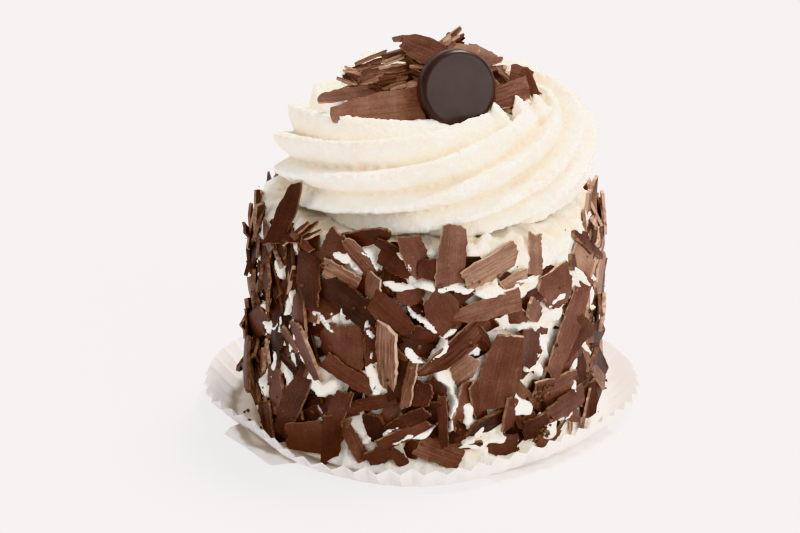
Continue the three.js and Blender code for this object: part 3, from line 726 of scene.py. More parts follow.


# %% [markdown]
# ## The shavings on the side
#
# The largest ones are placed one by one from a list, because they give this cake its face. The rest follow a
# rule:
# two irrational steps spread them evenly round and up the side, a seeded drawer gives each a size and
# a lean of its own, and they go on first, so that they end up in the gaps. On the right of the front,
# under the rosette, the cream stays bare.

# %% The largest shavings
# Each row is degrees round from the front, height of the middle, length, width, lean clockwise from
# upright, how wide its lower and upper ends are, how pale it is and how deep its lines are.
LARGE = [
    (-21, 43.0, 3.6, 2.8, 20, 0.8, 0.8, 0.3, 0.3), (-3, 38.5, 3.6, 1.8, -60, 0.8, 0.6, 0.12, 0.1),
    (-3, 34.0, 8.0, 4.2, -78, 0.5, 0.6, 0.22, 0.1), (-2, 30.0, 9.5, 3.2, -62, 0.7, 0.5, 0.1, 0.1),
    (-19, 28.0, 5.0, 2.6, -14, 0.9, 0.3, 0.4, 0.5), (-8, 28.0, 5.0, 1.8, -28, 0.7, 0.5, 0.5, 0.8),
    (-9, 22.5, 9.0, 4.0, 5, 0.8, 0.8, 0.08, 0.1), (3, 20.5, 5.0, 3.0, -30, 0.7, 0.6, 0.14, 0.1),
    (-2, 20.5, 5.4, 5.2, 10, 0.7, 0.8, 0.24, 0.3), (3, 16.5, 4.6, 3.0, -10, 0.8, 0.7, 0.1, 0.1),
    (-16, 11.0, 6.4, 5.0, -20, 0.8, 0.7, 0.1, 0.1), (-6, 14.0, 11.0, 3.2, 56, 0.6, 0.8, 0.22, 0.2),
    (-4, 6.5, 4.2, 3.2, 20, 0.8, 0.8, 0.26, 0.2), (31, 12.0, 6.0, 1.4, -12, 0.7, 0.7, 0.3, 0.5),
    (35, 10.5, 4.0, 2.8, 12, 0.8, 0.8, 0.34, 0.3), (53, 8.0, 9.0, 1.2, 36, 0.6, 0.5, 0.4, 0.6),
    (13, 7.0, 7.0, 1.4, 86, 0.5, 0.8, 0.14, 0.1), (-21, 54.0, 11.5, 3.6, 73, 0.9, 0.5, 0.2, 0.1),
    (-31, 50.4, 8.4, 5.8, 21, 0.8, 0.7, 0.38, 0.2), (-22, 49.6, 10.6, 3.0, -38, 0.9, 0.5, 0.6, 0.8),
    (-13, 52.4, 5.5, 2.2, -60, 0.8, 0.5, 0.18, 0.2), (-10, 48.6, 8.0, 3.7, -62, 0.3, 0.9, 0.3, 0.2),
    (-4, 51.0, 9.4, 4.8, -20, 0.6, 0.9, 0.43, 0.2), (0, 48.0, 3.8, 3.6, 5, 0.9, 0.9, 0.25, 0.3),
    (39, 48.2, 9.0, 2.8, 0, 0.95, 0.9, 0.72, 0.5), (30, 43.4, 6.3, 2.8, 74, 0.9, 0.9, 0.86, 0.6),
    (11, 42.2, 4.8, 2.9, 62, 0.5, 0.8, 0.21, 0.2), (-6, 42.1, 5.4, 3.7, -82, 0.8, 0.9, 0.43, 0.3),
    (-17, 43.9, 4.8, 3.8, 5, 0.8, 0.9, 0.61, 0.4), (-29, 44.8, 8.0, 4.0, -68, 0.9, 0.9, 0.8, 0.9),
    (21, 47.4, 13.6, 5.0, 73, 0.8, 0.95, 0.84, 0.8), (8, 50.6, 13.0, 5.6, 7, 1.0, 0.78, 0.56, 0.1),
    (5, 38.7, 10.4, 7.0, -28, 0.5, 0.6, 0.4, 0.15), (19, 39.1, 15.2, 4.3, 79, 0.15, 0.95, 0.55, 0.45),
    (31, 34.7, 5.1, 3.3, 5, 0.8, 0.9, 0.52, 0.2), (36, 36.0, 6.0, 3.7, -47, 0.8, 0.8, 0.5, 0.3),
    (-11, 38.5, 10.8, 4.9, -53, 0.45, 0.8, 0.35, 0.1), (-26, 39.5, 14.4, 6.2, -60, 0.9, 0.55, 0.08, 0.1),
    (-41, 44.3, 16.0, 5.0, -15, 0.25, 0.9, 0.22, 0.1), (-12, 28.2, 16.6, 4.6, 3, 0.7, 0.9, 0.75, 0.9),
    (-28, 29.0, 8.8, 10.0, 0, 0.7, 0.6, 0.45, 0.1), (-26, 22.3, 12.4, 3.2, -60, 0.9, 0.9, 0.41, 0.5),
    (-44, 32.2, 11.5, 4.8, -13, 0.7, 0.5, 0.4, 0.3), (-39, 26.4, 13.1, 4.4, -29, 0.6, 0.7, 0.43, 0.3),
    (-46, 13.7, 20.0, 5.2, 22, 0.7, 0.5, 0.27, 0.2), (-41, 5.8, 7.4, 9.0, 1, 0.8, 0.9, 0.47, 0.2),
    (-32, 5.4, 12.0, 4.2, 6, 0.8, 0.8, 0.27, 0.2), (-24, 5.5, 10.0, 2.6, -35, 0.9, 0.9, 0.58, 0.7),
    (-18, 16.3, 12.0, 2.5, 73, 0.8, 0.8, 0.4, 0.6), (-28, 15.1, 7.4, 3.8, 24, 0.8, 0.8, 0.32, 0.3),
    (-5, 22.9, 11.0, 2.1, 11, 0.9, 0.9, 0.58, 0.6), (12, 25.4, 6.2, 6.4, 46, 0.9, 0.5, 0.75, 0.8),
    (34, 27.3, 8.3, 5.6, 11, 0.9, 0.8, 0.34, 0.1), (46, 39.6, 8.2, 7.6, -2, 0.5, 0.9, 0.48, 0.2),
    (51, 25.3, 13.8, 4.6, 42, 0.6, 0.9, 0.36, 0.2), (63, 31.6, 9.6, 7.0, 40, 0.6, 0.9, 0.56, 0.3),
    (52, 29.7, 24.0, 4.0, 36, 0.8, 0.9, 0.5, 0.3), (45, 16.7, 12.8, 5.2, 92, 0.9, 0.8, 0.5, 0.7),
    (50, 11.4, 13.4, 4.0, 84, 0.6, 0.9, 0.36, 0.4), (11, 16.8, 10.3, 3.4, 17, 0.5, 0.9, 0.48, 0.3),
    (16, 16.4, 11.4, 2.8, -19, 0.9, 0.5, 0.38, 0.3), (5, 14.2, 11.4, 1.9, -3, 0.8, 0.8, 0.27, 0.2),
    (19, 12.0, 9.2, 4.2, 80, 0.4, 0.9, 0.12, 0.1), (36, 9.4, 4.2, 5.0, -1, 0.8, 0.9, 0.2, 0.2),
    (26, 5.4, 6.9, 4.0, 88, 0.4, 0.9, 0.34, 0.2), (4, 5.9, 10.0, 4.8, -67, 0.8, 0.8, 0.53, 0.6),
    (44, 4.9, 6.1, 3.8, 66, 0.8, 0.6, 0.5, 0.4), (24, 23.5, 17.9, 8.2, 10, 1.0, 0.62, 0.43, 0.4),
    (8, 29.8, 19.2, 5.7, 52, 0.12, 0.9, 0.38, 1.0), (-18, 32.0, 5.2, 2.8, 0, 0.8, 0.7, 0.3, 0.3),
    (-7, 10.5, 12.5, 2.8, 62, 0.8, 0.5, 0.46, 0.6), (27, 13.5, 7.8, 3.4, 4, 0.9, 0.8, 0.4, 0.2),
    (-15, 4.6, 6.2, 3.4, 58, 0.8, 0.7, 0.42, 0.3), (-9, 4.0, 5.0, 2.2, -44, 0.8, 0.6, 0.3, 0.3),
    (-80, 7.0, 13.0, 2.6, -6, 0.6, 0.9, 0.22, 0.3), (-71, 4.6, 9.0, 3.6, -10, 0.6, 0.8, 0.3, 0.3),
    (-63, 4.0, 7.6, 3.4, 12, 0.7, 0.8, 0.24, 0.2), (-57, 4.6, 9.0, 2.4, -24, 0.6, 0.9, 0.38, 0.4),
    (-75, 15.0, 12.0, 3.2, -12, 0.6, 0.9, 0.26, 0.2), (66, 6.0, 9.0, 3.0, 26, 0.7, 0.8, 0.44, 0.4),
]

# Some lean on the rim, against the underside of the rosette. These rows are for lay_by_hand.
ON_THE_RIM = [
    (-29.9, -20.6, 54.6, 14.5, 3.5, 24, 64, 40, 0.9, 0.5, 0.2, 0.05, 0.03),
    (-27.4, -25.4, 51.6, 8.0, 1.6, -26, 42, 30, 0.7, 0.5, 0.45, 0.8, 0.02),
    (-25.8, -26.4, 52.2, 8.5, 1.4, -24, 36, 40, 0.6, 0.4, 0.3, 0.8, 0.02),
    (-24.8, -27.4, 51.4, 7.5, 1.5, -34, 30, 20, 0.7, 0.5, 0.5, 0.8, 0.0),
    (-28.6, -25.6, 50.4, 6.4, 1.8, -44, 8, 50, 0.6, 0.7, 0.2, 0.6, 0.0),
    (-26.4, -27.6, 50.2, 6.0, 1.6, -40, -26, 60, 0.5, 0.8, 0.55, 0.8, 0.0),
    (37.6, -3.0, 51.0, 11.0, 2.2, 80, 78, 60, 0.8, 0.2, 0.62, 0.6, 0.03),
    (37.0, -6.0, 49.0, 12.0, 2.6, -70, 76, 50, 0.7, 0.4, 0.7, 0.6, 0.02),
    (-37.2, -8.0, 50.8, 9.5, 1.6, 100, 80, 40, 0.8, 0.6, 0.4, 0.6, 0.02),
    (-36.2, -11.0, 50.0, 7.5, 3.0, -80, 70, 50, 0.8, 0.8, 0.35, 0.3, 0.0),
]

# %% [markdown]
# The cream keeps a record of what is pressed into it. Where a large shaving lies it stays flat, and
# between them it is squeezed up in ridges. Both are drawn on the unrolled side before anything is
# laid, because the small shavings leave the ridges free.

# %% Where the large shavings press the cream flat
free = numpy.ones((COLUMNS, ROWS))  # how freely the cream swells, from 0 to 1
for around, height, long, wide, lean, *_ in LARGE:
    turn = math.radians(lean)
    for x in numpy.arange(-wide / 2 - 0.3, wide / 2 + 0.3, 0.5):
        for y in numpy.arange(-long / 2 - 0.3, long / 2 + 0.3, 0.5):
            column = round(math.radians(around) * UNROLLED + x * math.cos(turn) + y * math.sin(turn))
            row = round(height - x * math.sin(turn) + y * math.cos(turn))
            free[column % COLUMNS, min(ROWS - 1, max(0, row))] = 0.15
print(f"{(free < 1).mean():.0%} of the side lies under large shavings")

# %% Where the cream is squeezed up between them
# Each row is degrees round from the front, height of the middle, length, width and lean of a ridge of
# cream. It rises through whatever lies there, to just above it.
SQUEEZED = [
    (-26, 50, 8.7, 2.9, 66), (-19, 50, 7.3, 1.3, -36), (-7, 50, 8.2, 1.6, -36), (1, 52, 5.4, 2.1, -56),
    (-10, 44, 10.4, 1.8, -84), (6, 44, 12.6, 1.8, -85), (23, 42, 11.6, 1.8, -87), (34, 43, 7.8, 1.3, -86),
    (-1, 37, 9.2, 1.6, -50), (7, 34, 4.6, 1.5, 68), (-4, 29, 7.4, 2.1, -51), (4, 30, 7.0, 1.8, 36),
    (-18, 24, 10.4, 2.0, -4), (-18, 34, 4.9, 1.6, -11), (-36, 18, 9.6, 5.2, -86), (-34, 34, 8.0, 1.3, -56),
    (-45, 30, 5.9, 1.5, -20), (6, 22, 7.8, 2.1, -34), (8, 15, 9.5, 1.6, 9), (14, 13, 10.0, 3.4, -22),
    (-4, 10, 11.1, 2.1, 68), (-9, 12, 8.2, 1.3, 51), (18, 7, 12.1, 2.1, 87), (32, 33, 12.0, 1.5, 90),
    (51, 35, 12.0, 1.3, 79), (37, 22, 6.7, 2.8, -58), (42, 26, 7.7, 1.5, -34), (32, 14, 9.0, 3.2, -41),
    (62, 37, 9.5, 1.5, -28), (-18, 8, 5.9, 1.2, 53), (-45, 24, 5.0, 1.2, -27), (-48, 36, 5.4, 1.2, -26),
    (-56, 42, 5.6, 2.0, -14), (-68, 26, 6.0, 2.0, -51), (-57, 28, 4.8, 1.7, 34), (-64, 12, 6.0, 2.8, -51),
    (-52, 16, 6.4, 2.6, -20), (-28, 37, 3.0, 1.4, -18), (-59, 51, 5.3, 2.7, -11), (58, 39, 6.4, 1.8, -10),
    (46, 37, 9.6, 1.2, 66), (63, 33, 7.0, 1.6, 44), (70, 35, 7.3, 1.7, -28), (41, 28, 3.4, 1.4, 67),
    (47, 21, 3.0, 1.4, 18), (55, 20, 6.0, 1.9, 20), (64, 18, 4.4, 2.2, -6), (54, 15, 4.7, 1.5, -21),
    (43, 8, 10.1, 4.2, -42), (56, 8, 8.0, 1.4, 74), (27, 34, 5.5, 2.7, -38), (64, 50, 7.1, 3.2, -8),
]


def ridge_share(around, height, long, wide, lean):
    """How much of a ridge stands in each fine cell of the unrolled side, from 0 to 1."""
    girth = 2 * math.pi * UNROLLED
    x = numpy.arange(round(girth / CELL)) * CELL - math.radians(around) * UNROLLED
    x = (x + girth / 2) % girth - girth / 2  # the short way round
    x, y = numpy.meshgrid(x, numpy.arange(round((ROWS + 1) / CELL)) * CELL - height, indexing="ij")
    turn = math.radians(lean)
    along = x * math.sin(turn) + y * math.cos(turn)
    across = x * math.cos(turn) - y * math.sin(turn)
    across = across + 0.18 * wide * numpy.sin(1.1 * along + around) + 0.06 * numpy.sin(2.9 * along + height)
    body = 1 + 0.3 * numpy.sin(0.8 * along + 3 * around) + 0.07 * numpy.sin(3.1 * along + height)
    away = numpy.hypot(along / (long / 2), across / (wide / 2 * body))
    share = numpy.clip((1.15 - away) / 0.35, 0, 1)
    return share * share * (3 - 2 * share)


ridges = numpy.stack([ridge_share(*row) for row in SQUEEZED])
ridge_shares = ridges.max(axis=0)
on_wall = ridge_shares[:, : round(CAKE["high"] / CELL)]
print(f"{(on_wall > 0.5).mean():.0%} of the side is squeezed cream")


# %% The field of the side
def coat_reach(column, height, shape_of_coat):
    """How far the coat stands out from the unrolled side, at a column and a height of the field."""
    if not 1 <= height < CAKE["high"]:
        return -1.6
    turn = column / UNROLLED
    radius = wall_radius(height)
    place = Vector((radius * math.sin(turn), -radius * math.cos(turn), height))
    return radius + shape_of_coat(place) - UNROLLED


def side_field(shape_of_coat):
    """The field of the bare coat: how far it stands out in each cell."""
    return numpy.array([[coat_reach(c, z, shape_of_coat) for z in range(ROWS)] for c in range(COLUMNS)])


field = side_field(coat_swell)


# %% A shaving on the side
def half_height(long, wide, lean):
    """Half the height that a leaning shaving takes up."""
    turn = math.radians(lean)
    return long / 2 * abs(math.cos(turn)) + wide / 2 * abs(math.sin(turn))


def on_side(around, height, out):
    """A point that stands out from the unrolled side, and the way straight out from it."""
    turn = math.radians(around)
    outwards = Vector((math.sin(turn), -math.cos(turn), 0))
    return outwards * (UNROLLED + out) + Vector((CAKE["x"], 0, height)), outwards


def lay_on_side(everything, around, height, long, wide, lean, tail, head, look, detail, sink, draw):
    """Lays one shaving on the field; the last numbers are its ends, look, detail and how deep it sinks."""
    height = max(height, CAKE["low"] + 0.3 + half_height(long, wide, lean) * 0.96)
    thick = draw(0.5, 1.0)
    lively = min(1.1, 5 / wide) if abs(around) < 60 else min(1.7, 4 / wide)
    tilt = (draw(-0.4, 0.4) * lively, draw(-0.2, 0.2) * min(1.0, lively))
    middle = (math.radians(around) * UNROLLED, height)
    out, *slopes = lay(field, middle, (long, wide), lean, 1 / (2 * UNROLLED), sink, tilt, thick)
    shape = cut_shaving(long, wide, tail, head, thick, detail, draw)
    bend_shaving(shape, draw(-0.03, 0.02), draw(-0.09, 0.06), draw(-0.15, 0.15))
    place, outwards = on_side(around, height, out)
    facing = Matrix(((-outwards.y, outwards.x, 0), (0, 0, 1), outwards)).transposed().to_4x4()
    whole = Matrix.Translation(place) @ facing @ Matrix.Rotation(-math.radians(lean), 4, "Z")
    join_shaving(everything, shape, whole @ tilted(*slopes), look)


# %% Rule for the others
def spread(i):
    """Two shares from 0 to 1 that spread points evenly over a square as i counts up."""
    return (i * 0.7548777) % 1, (i * 0.5698403) % 1


def bare(around, height):
    """Whether the cream stays bare there."""
    return (12 < around < 62 and height > 44.5) or (8 < around < 40 and 40 < height < 42)


def share_kept(around, height):
    """The share of the small shavings that stay: fewer where the large ones cover them in front."""
    if -30 < around < 50 and height < 9:
        return 0.15
    if abs(around) > 55 or around < -40:
        return 0.85
    return 0.5 if height < 22 else 0.36 if height < 38 else 0.22


def small_look(share, around, draw):
    """How pale a small shaving is, how deep its lines are and where its pattern starts."""
    tone = 0.6 * draw(0, 1) ** 1.3 + (0.3 if draw(0, 1) < 0.15 else 0)
    # Painted shade: the first ones, which lie deepest, are painted darker.
    if share < 0.35:  # the first ones lie deepest, in the shade
        tone *= 0.3
    # Painted light: the ones on the right, where the light falls, are painted paler.
    if around > 50:
        tone += 0.18
    return tone, draw(0.1, 0.9), draw(0, 9)


def small_shavings(everything, count, draw):
    for i in range(count):
        share = i / count
        round_share, up_share = spread(i)
        around, height = 360 * round_share - 180, 3 + 47 * up_share
        long = draw(4.5, 9) + 7 * share * draw(0, 1)
        wide = long * draw(0.28, 0.55) if draw(0, 1) < 0.75 else long * draw(0.14, 0.24)
        lean = draw(-90, 90)
        if abs(around) > 55 or height < 24:
            lean *= 0.8
        tail, head = draw(0.35, 1.0), draw(0.35, 1.0)
        look = small_look(share, around, draw)
        cell = (round(math.radians(around) * UNROLLED / CELL) % ridge_shares.shape[0], round(height / CELL))
        if bare(around, height) or draw(0, 1) > share_kept(around, height) or ridge_shares[cell] > 0.3:
            continue
        rise = half_height(long, wide, lean)
        height = max(min(height, draw(49, 53.5) - rise), rise + draw(1, 5))
        lay_on_side(everything, around, height, long, wide, lean, tail, head, look, (2, 4), 0.5, draw)


# %% All the shavings of the side
def side_shavings():
    everything = bmesh.new()
    draw = Drawer(20)
    small_shavings(everything, 950, draw)
    numpy.maximum(field, side_field(coat_noise) - 0.7, out=field)
    for around, height, long, wide, lean, tail, head, tone, grain in LARGE:
        look = (tone, grain, draw(0, 9))
        detail = (8, 16) if long * wide > 20 else (5, 10)
        lay_on_side(everything, around, height, long, wide, lean, tail, head, look, detail, 0.0, draw)
    for row in ON_THE_RIM:
        lay_by_hand(everything, row, draw)
    for vert in everything.verts:  # the lowest ones stand on the paper
        vert.co.z = max(vert.co.z, 0.15)
    finish_piece("side_shavings", everything, [shaved, broken], "cake_with_shavings")


side_shavings()

# %% The coat, squeezed up between the shavings
ridge_levels = numpy.zeros(ridge_shares.shape)
for ridge in ridges:
    cells = numpy.round(numpy.argwhere(ridge > 0.5) * CELL).astype(int)
    under = field[cells[:, 0] % COLUMNS, numpy.minimum(ROWS - 1, cells[:, 1])]
    ridge_levels[(ridge > 0) & (ridge == ridge_shares)] = float(numpy.quantile(under, 0.6)) + 0.12
coat()

# %% [markdown]
# ## Crumbs
#
# Shaving and pressing breaks off crumbs of half a millimetre to two millimetres. They stick to the
# cream and to the shavings, and a few have dropped on the paper. Each is a cube with its corners
# pulled about, because so small a piece needs no more, and the field says how far out it sits.


# %% Crumbs
def crumb(everything, place, size, tone, draw):
    look = (tone, 0.5, draw(0, 9))
    shape = bmesh.new()
    bmesh.ops.create_cube(shape, size=size)
    for vert in shape.verts:
        vert.co = Vector([part * draw(0.35, 1.2) for part in vert.co])
    lay_out(shape)
    turn = Matrix.Rotation(draw(0, 6.28), 4, Vector((draw(-1, 1), draw(-1, 1), draw(-1, 1))).normalized())
    join_shaving(everything, shape, Matrix.Translation(place) @ turn, look)


def on_shavings(around, height, sunk=0.0):
    """Where a crumb sticks to the side, sunk a little into what is there."""
    out = field[round(math.radians(around) * UNROLLED) % COLUMNS, round(height)] - sunk
    return on_side(around, height, out)[0]


def crumbs():
    everything = bmesh.new()
    draw = Drawer(77)
    for _ in range(520):
        around = draw(-180, 180)
        height = 1.5 + 49 * draw(0, 1) ** 1.3
        size = 0.3 + 0.6 * draw(0, 1) ** 3
        place = on_shavings(around, height, 0.1 * size)
        crumb(everything, place, size, 0.3 * draw(0, 1) - 0.1, draw)
    for middle, level, count in ((39, 17.5, 60), (40, 7.0, 70)):  # two patches of fine ones
        for _ in range(count):
            around = middle + draw(-5, 5) * draw(0, 1)
            place = on_shavings(around, level + draw(-4, 4) * draw(0, 1))
            crumb(everything, place, draw(0.3, 0.8), 0.15 * draw(0, 1), draw)
    for _ in range(22):  # on the paper
        turn = draw(-math.pi, math.pi)
        far = bent(turn)[0] - draw(0.6, 2.6)
        size = 0.35 + 0.7 * draw(0, 1) ** 2
        place = Vector((far * math.cos(turn), far * math.sin(turn), 0.2 + 0.7 * size))
        crumb(everything, place, size, 0.5 * draw(0, 1), draw)
    finish_piece("crumbs_of_chocolate", everything, [broken], "cake_with_shavings")


crumbs()

# %% [markdown]
# ## The rosette
#
# The rosette is one thick rope of cream, piped in a single turn through a star nozzle with ten teeth.
# The baker's hand goes round but the nozzle doesn't turn, so the ridges wind about the rope. A star
# is drawn as a reshaped circle and extruded step by step along the turn. Its lower part is pressed
# flat on the cake, and a voxel remesh melts the tail of the rope into its start.


# %% Rope of cream
def rope_middle(degrees):
    """Heading, distance from the axis, height and thickness of the rope, some degrees after its start."""
    tail = max(0.0, (degrees - 360) / ROPE["tail"])
    heading = math.radians(ROPE["start"] + degrees)
    distance = ROPE["turn"] - ROPE["tail_in"] * tail * tail
    height = ROPE["height"] + ROPE["rise"] * min(degrees, 360) / 360 + ROPE["tail_up"] * tail
    return heading, distance, height, 1 - (1 - ROPE["tail_tip"]) * tail * tail


def ridge_angle(degrees):
    """Where the first ridge stands on the rope. The ridges slip back by one towards the front."""
    there = ROPE["start"] + degrees
    share = min(1.0, max(0.0, (there - ROPE["slip_from"]) / ROPE["slip_over"]))
    return ROPE["ridge"] + there - 180 - ROPE["slip"] * share * share * (3 - 2 * share)


def rope_point(degrees, share):
    """A point of the rope's surface; share goes once round its star from 0 to 1."""
    heading, distance, height, thickness = rope_middle(degrees)
    angle = math.radians(ridge_angle(degrees) - 360 * share)
    along = (share * ROPE["ridges"] + 0.5) % 1  # from one crease to the next
    crest = ROPE["crest_at"]
    away = (crest - along) / crest if along < crest else (along - crest) / (1 - crest)
    reach = ROPE["crest"] - (ROPE["crest"] - ROPE["crease"]) * away**1.25
    out = distance + reach * thickness * math.cos(angle)
    up = height + reach * thickness * math.sin(angle)
    squashed = max(0.0, ROPE["foot"] + 2 - up)  # its foot is pressed flat and spreads
    out += 0.14 * squashed * math.copysign(1, math.cos(angle))
    return Vector((out * math.cos(heading) + ROPE["x"], out * math.sin(heading), max(ROPE["foot"], up)))


def rope_shape():
    shape = bmesh.new()
    around, steps = 12 * ROPE["ridges"], 260
    bmesh.ops.create_circle(shape, cap_ends=False, radius=10, segments=around)
    order = shape.verts.layers.int.new("order")
    for i, vert in enumerate(shape.verts):
        vert[order] = i
        vert.co = rope_point(0, i / around)
    edges = shape.edges[:]
    for step in range(1, steps + 1):
        ring, edges = next_ring(shape, edges)
        for vert in ring:
            vert.co = rope_point(step * (360 + ROPE["tail"]) / steps, vert[order] / around)
    bmesh.ops.holes_fill(shape, edges=[edge for edge in shape.edges if edge.is_boundary], sides=0)
    bmesh.ops.recalc_face_normals(shape, faces=shape.faces)
    return shape


# %% Points and lumps of cream at the disc
PEAKS = [((16, -17, 75.6), 3.4, 6.0), ((21, -14, 76.4), 3.2, 6.6), ((25, -10, 76), 3.0, 5.0)]
LUMPS = [((3.2, -20.4, 72.4), 2.0), ((7.4, -21.0, 72.8), 2.2), ((11.6, -19.8, 73.2), 2.2)]


def add_peaks(shape):
    """Cream drawn up in points beside the disc, and lumps where its foot was pushed in."""
    for place, radius, high in PEAKS:
        leaned = Matrix.Translation(place) @ Matrix.Rotation(-0.25, 4, "Y")
        sizes = {"segments": 24, "radius1": radius, "radius2": 0.15, "depth": high}
        bmesh.ops.create_cone(shape, cap_ends=True, matrix=leaned, **sizes)
    for place, radius in LUMPS:
        bmesh.ops.create_icosphere(shape, subdivisions=3, radius=radius, matrix=Matrix.Translation(place))


# %% Melting the rope together and giving it its skin
def remeshed(shape, size):
    """The same shape as an even mesh of small faces, in a new bmesh."""
    mesh = as_mesh(shape, "before")
    before = show("before", mesh)
    voxels = before.modifiers.new("voxels", "REMESH")
    voxels.mode = "VOXEL"
    voxels.voxel_size = size
    melted = before.evaluated_get(bpy.context.evaluated_depsgraph_get())
    again = bmesh.new()
    again.from_mesh(melted.to_mesh())
    melted.to_mesh_clear()
    bpy.data.objects.remove(before)
    bpy.data.meshes.remove(mesh)
    return again


def foot_crease_shade(place):
    """The painted shade in the crease at the foot of the rosette, deepest on the coat."""
    return 0.5 * max(0.0, 1 - (place.z - ROPE["foot"]) / 2.5)


def rosette():
    rope = rope_shape()
    add_peaks(rope)
    shape = remeshed(rope, 0.53)
    shape.normal_update()
    for vert, depth in zip(shape.verts, hollows(shape, 24)):
        place = vert.co.copy()
        if place.z > ROPE["foot"] + 0.1:
            swell = 0.25 * noise.noise(place * 0.12)
            torn = 0.2 * noise.noise(place * 0.55) + 0.16 * noise.noise(place * 1.2)
            ragged = 0.35 * noise.noise(place * 1.1) * min(1.0, max(0.0, -depth / 0.15))
            vert.co = place + vert.normal * (swell + torn + ragged - 0.9 * depth)
    finish_cream("rosette_piped", shape, "cream_rosette", 24, 0.6, foot_crease_shade)


rosette()

# %% [markdown]
# ## The heap of shavings
#
# A spoonful of shavings was dropped into the middle of the rosette. The heap gets a dark core that
# only closes the gaps, a first layer of small pieces spread over it by the same two steps, and then
# the larger ones that show in front, each at a listed place above them.


# %% The heap's core
def heap_height(distance):
    """The height of the heap's core, some way from its axis."""
    return HEAP["high"] - 2.5 + (HEAP["rim"] - HEAP["high"]) * (distance / HEAP["spread"]) ** 1.6


def heap_limit(x, y):
    """How high the small pieces may lie: the heap is a low dome, a little higher at its left."""
    return 88.0 - 0.0235 * ((x + 1) ** 2 + y**2)


def heap_field(half):
    """The heights of the core over a square of millimetres about the heap's middle."""
    away = [[min(26.0, math.hypot(x - half, y - half)) for y in range(2 * half)] for x in range(2 * half)]
    return numpy.array([[heap_height(distance) for distance in column] for column in away])


def heap_core():
    points = [(0.0, HEAP["foot"]), (HEAP["throat"] - 1, HEAP["foot"]), (HEAP["throat"], HEAP["rim"] - 8)]
    points += [(HEAP["spread"] * 0.86, HEAP["rim"] - 1.5)]
    for share in (0.8, 0.6, 0.4, 0.2, 0.0):
        points.append((HEAP["spread"] * share, heap_height(HEAP["spread"] * share)))
    shape = spun(points, 64)
    bmesh.ops.subdivide_edges(shape, edges=shape.edges[:], cuts=1, use_grid_fill=True)
    for vert in shape.verts:
        vert.co += Vector((0.8, 0.8, 0.6)) * noise.noise(vert.co * 0.4) if vert.co.z > 70 else Vector()
    bmesh.ops.recalc_face_normals(shape, faces=shape.faces)
    lay_out(shape, (HEAP["x"], HEAP["y"]))
    return shape


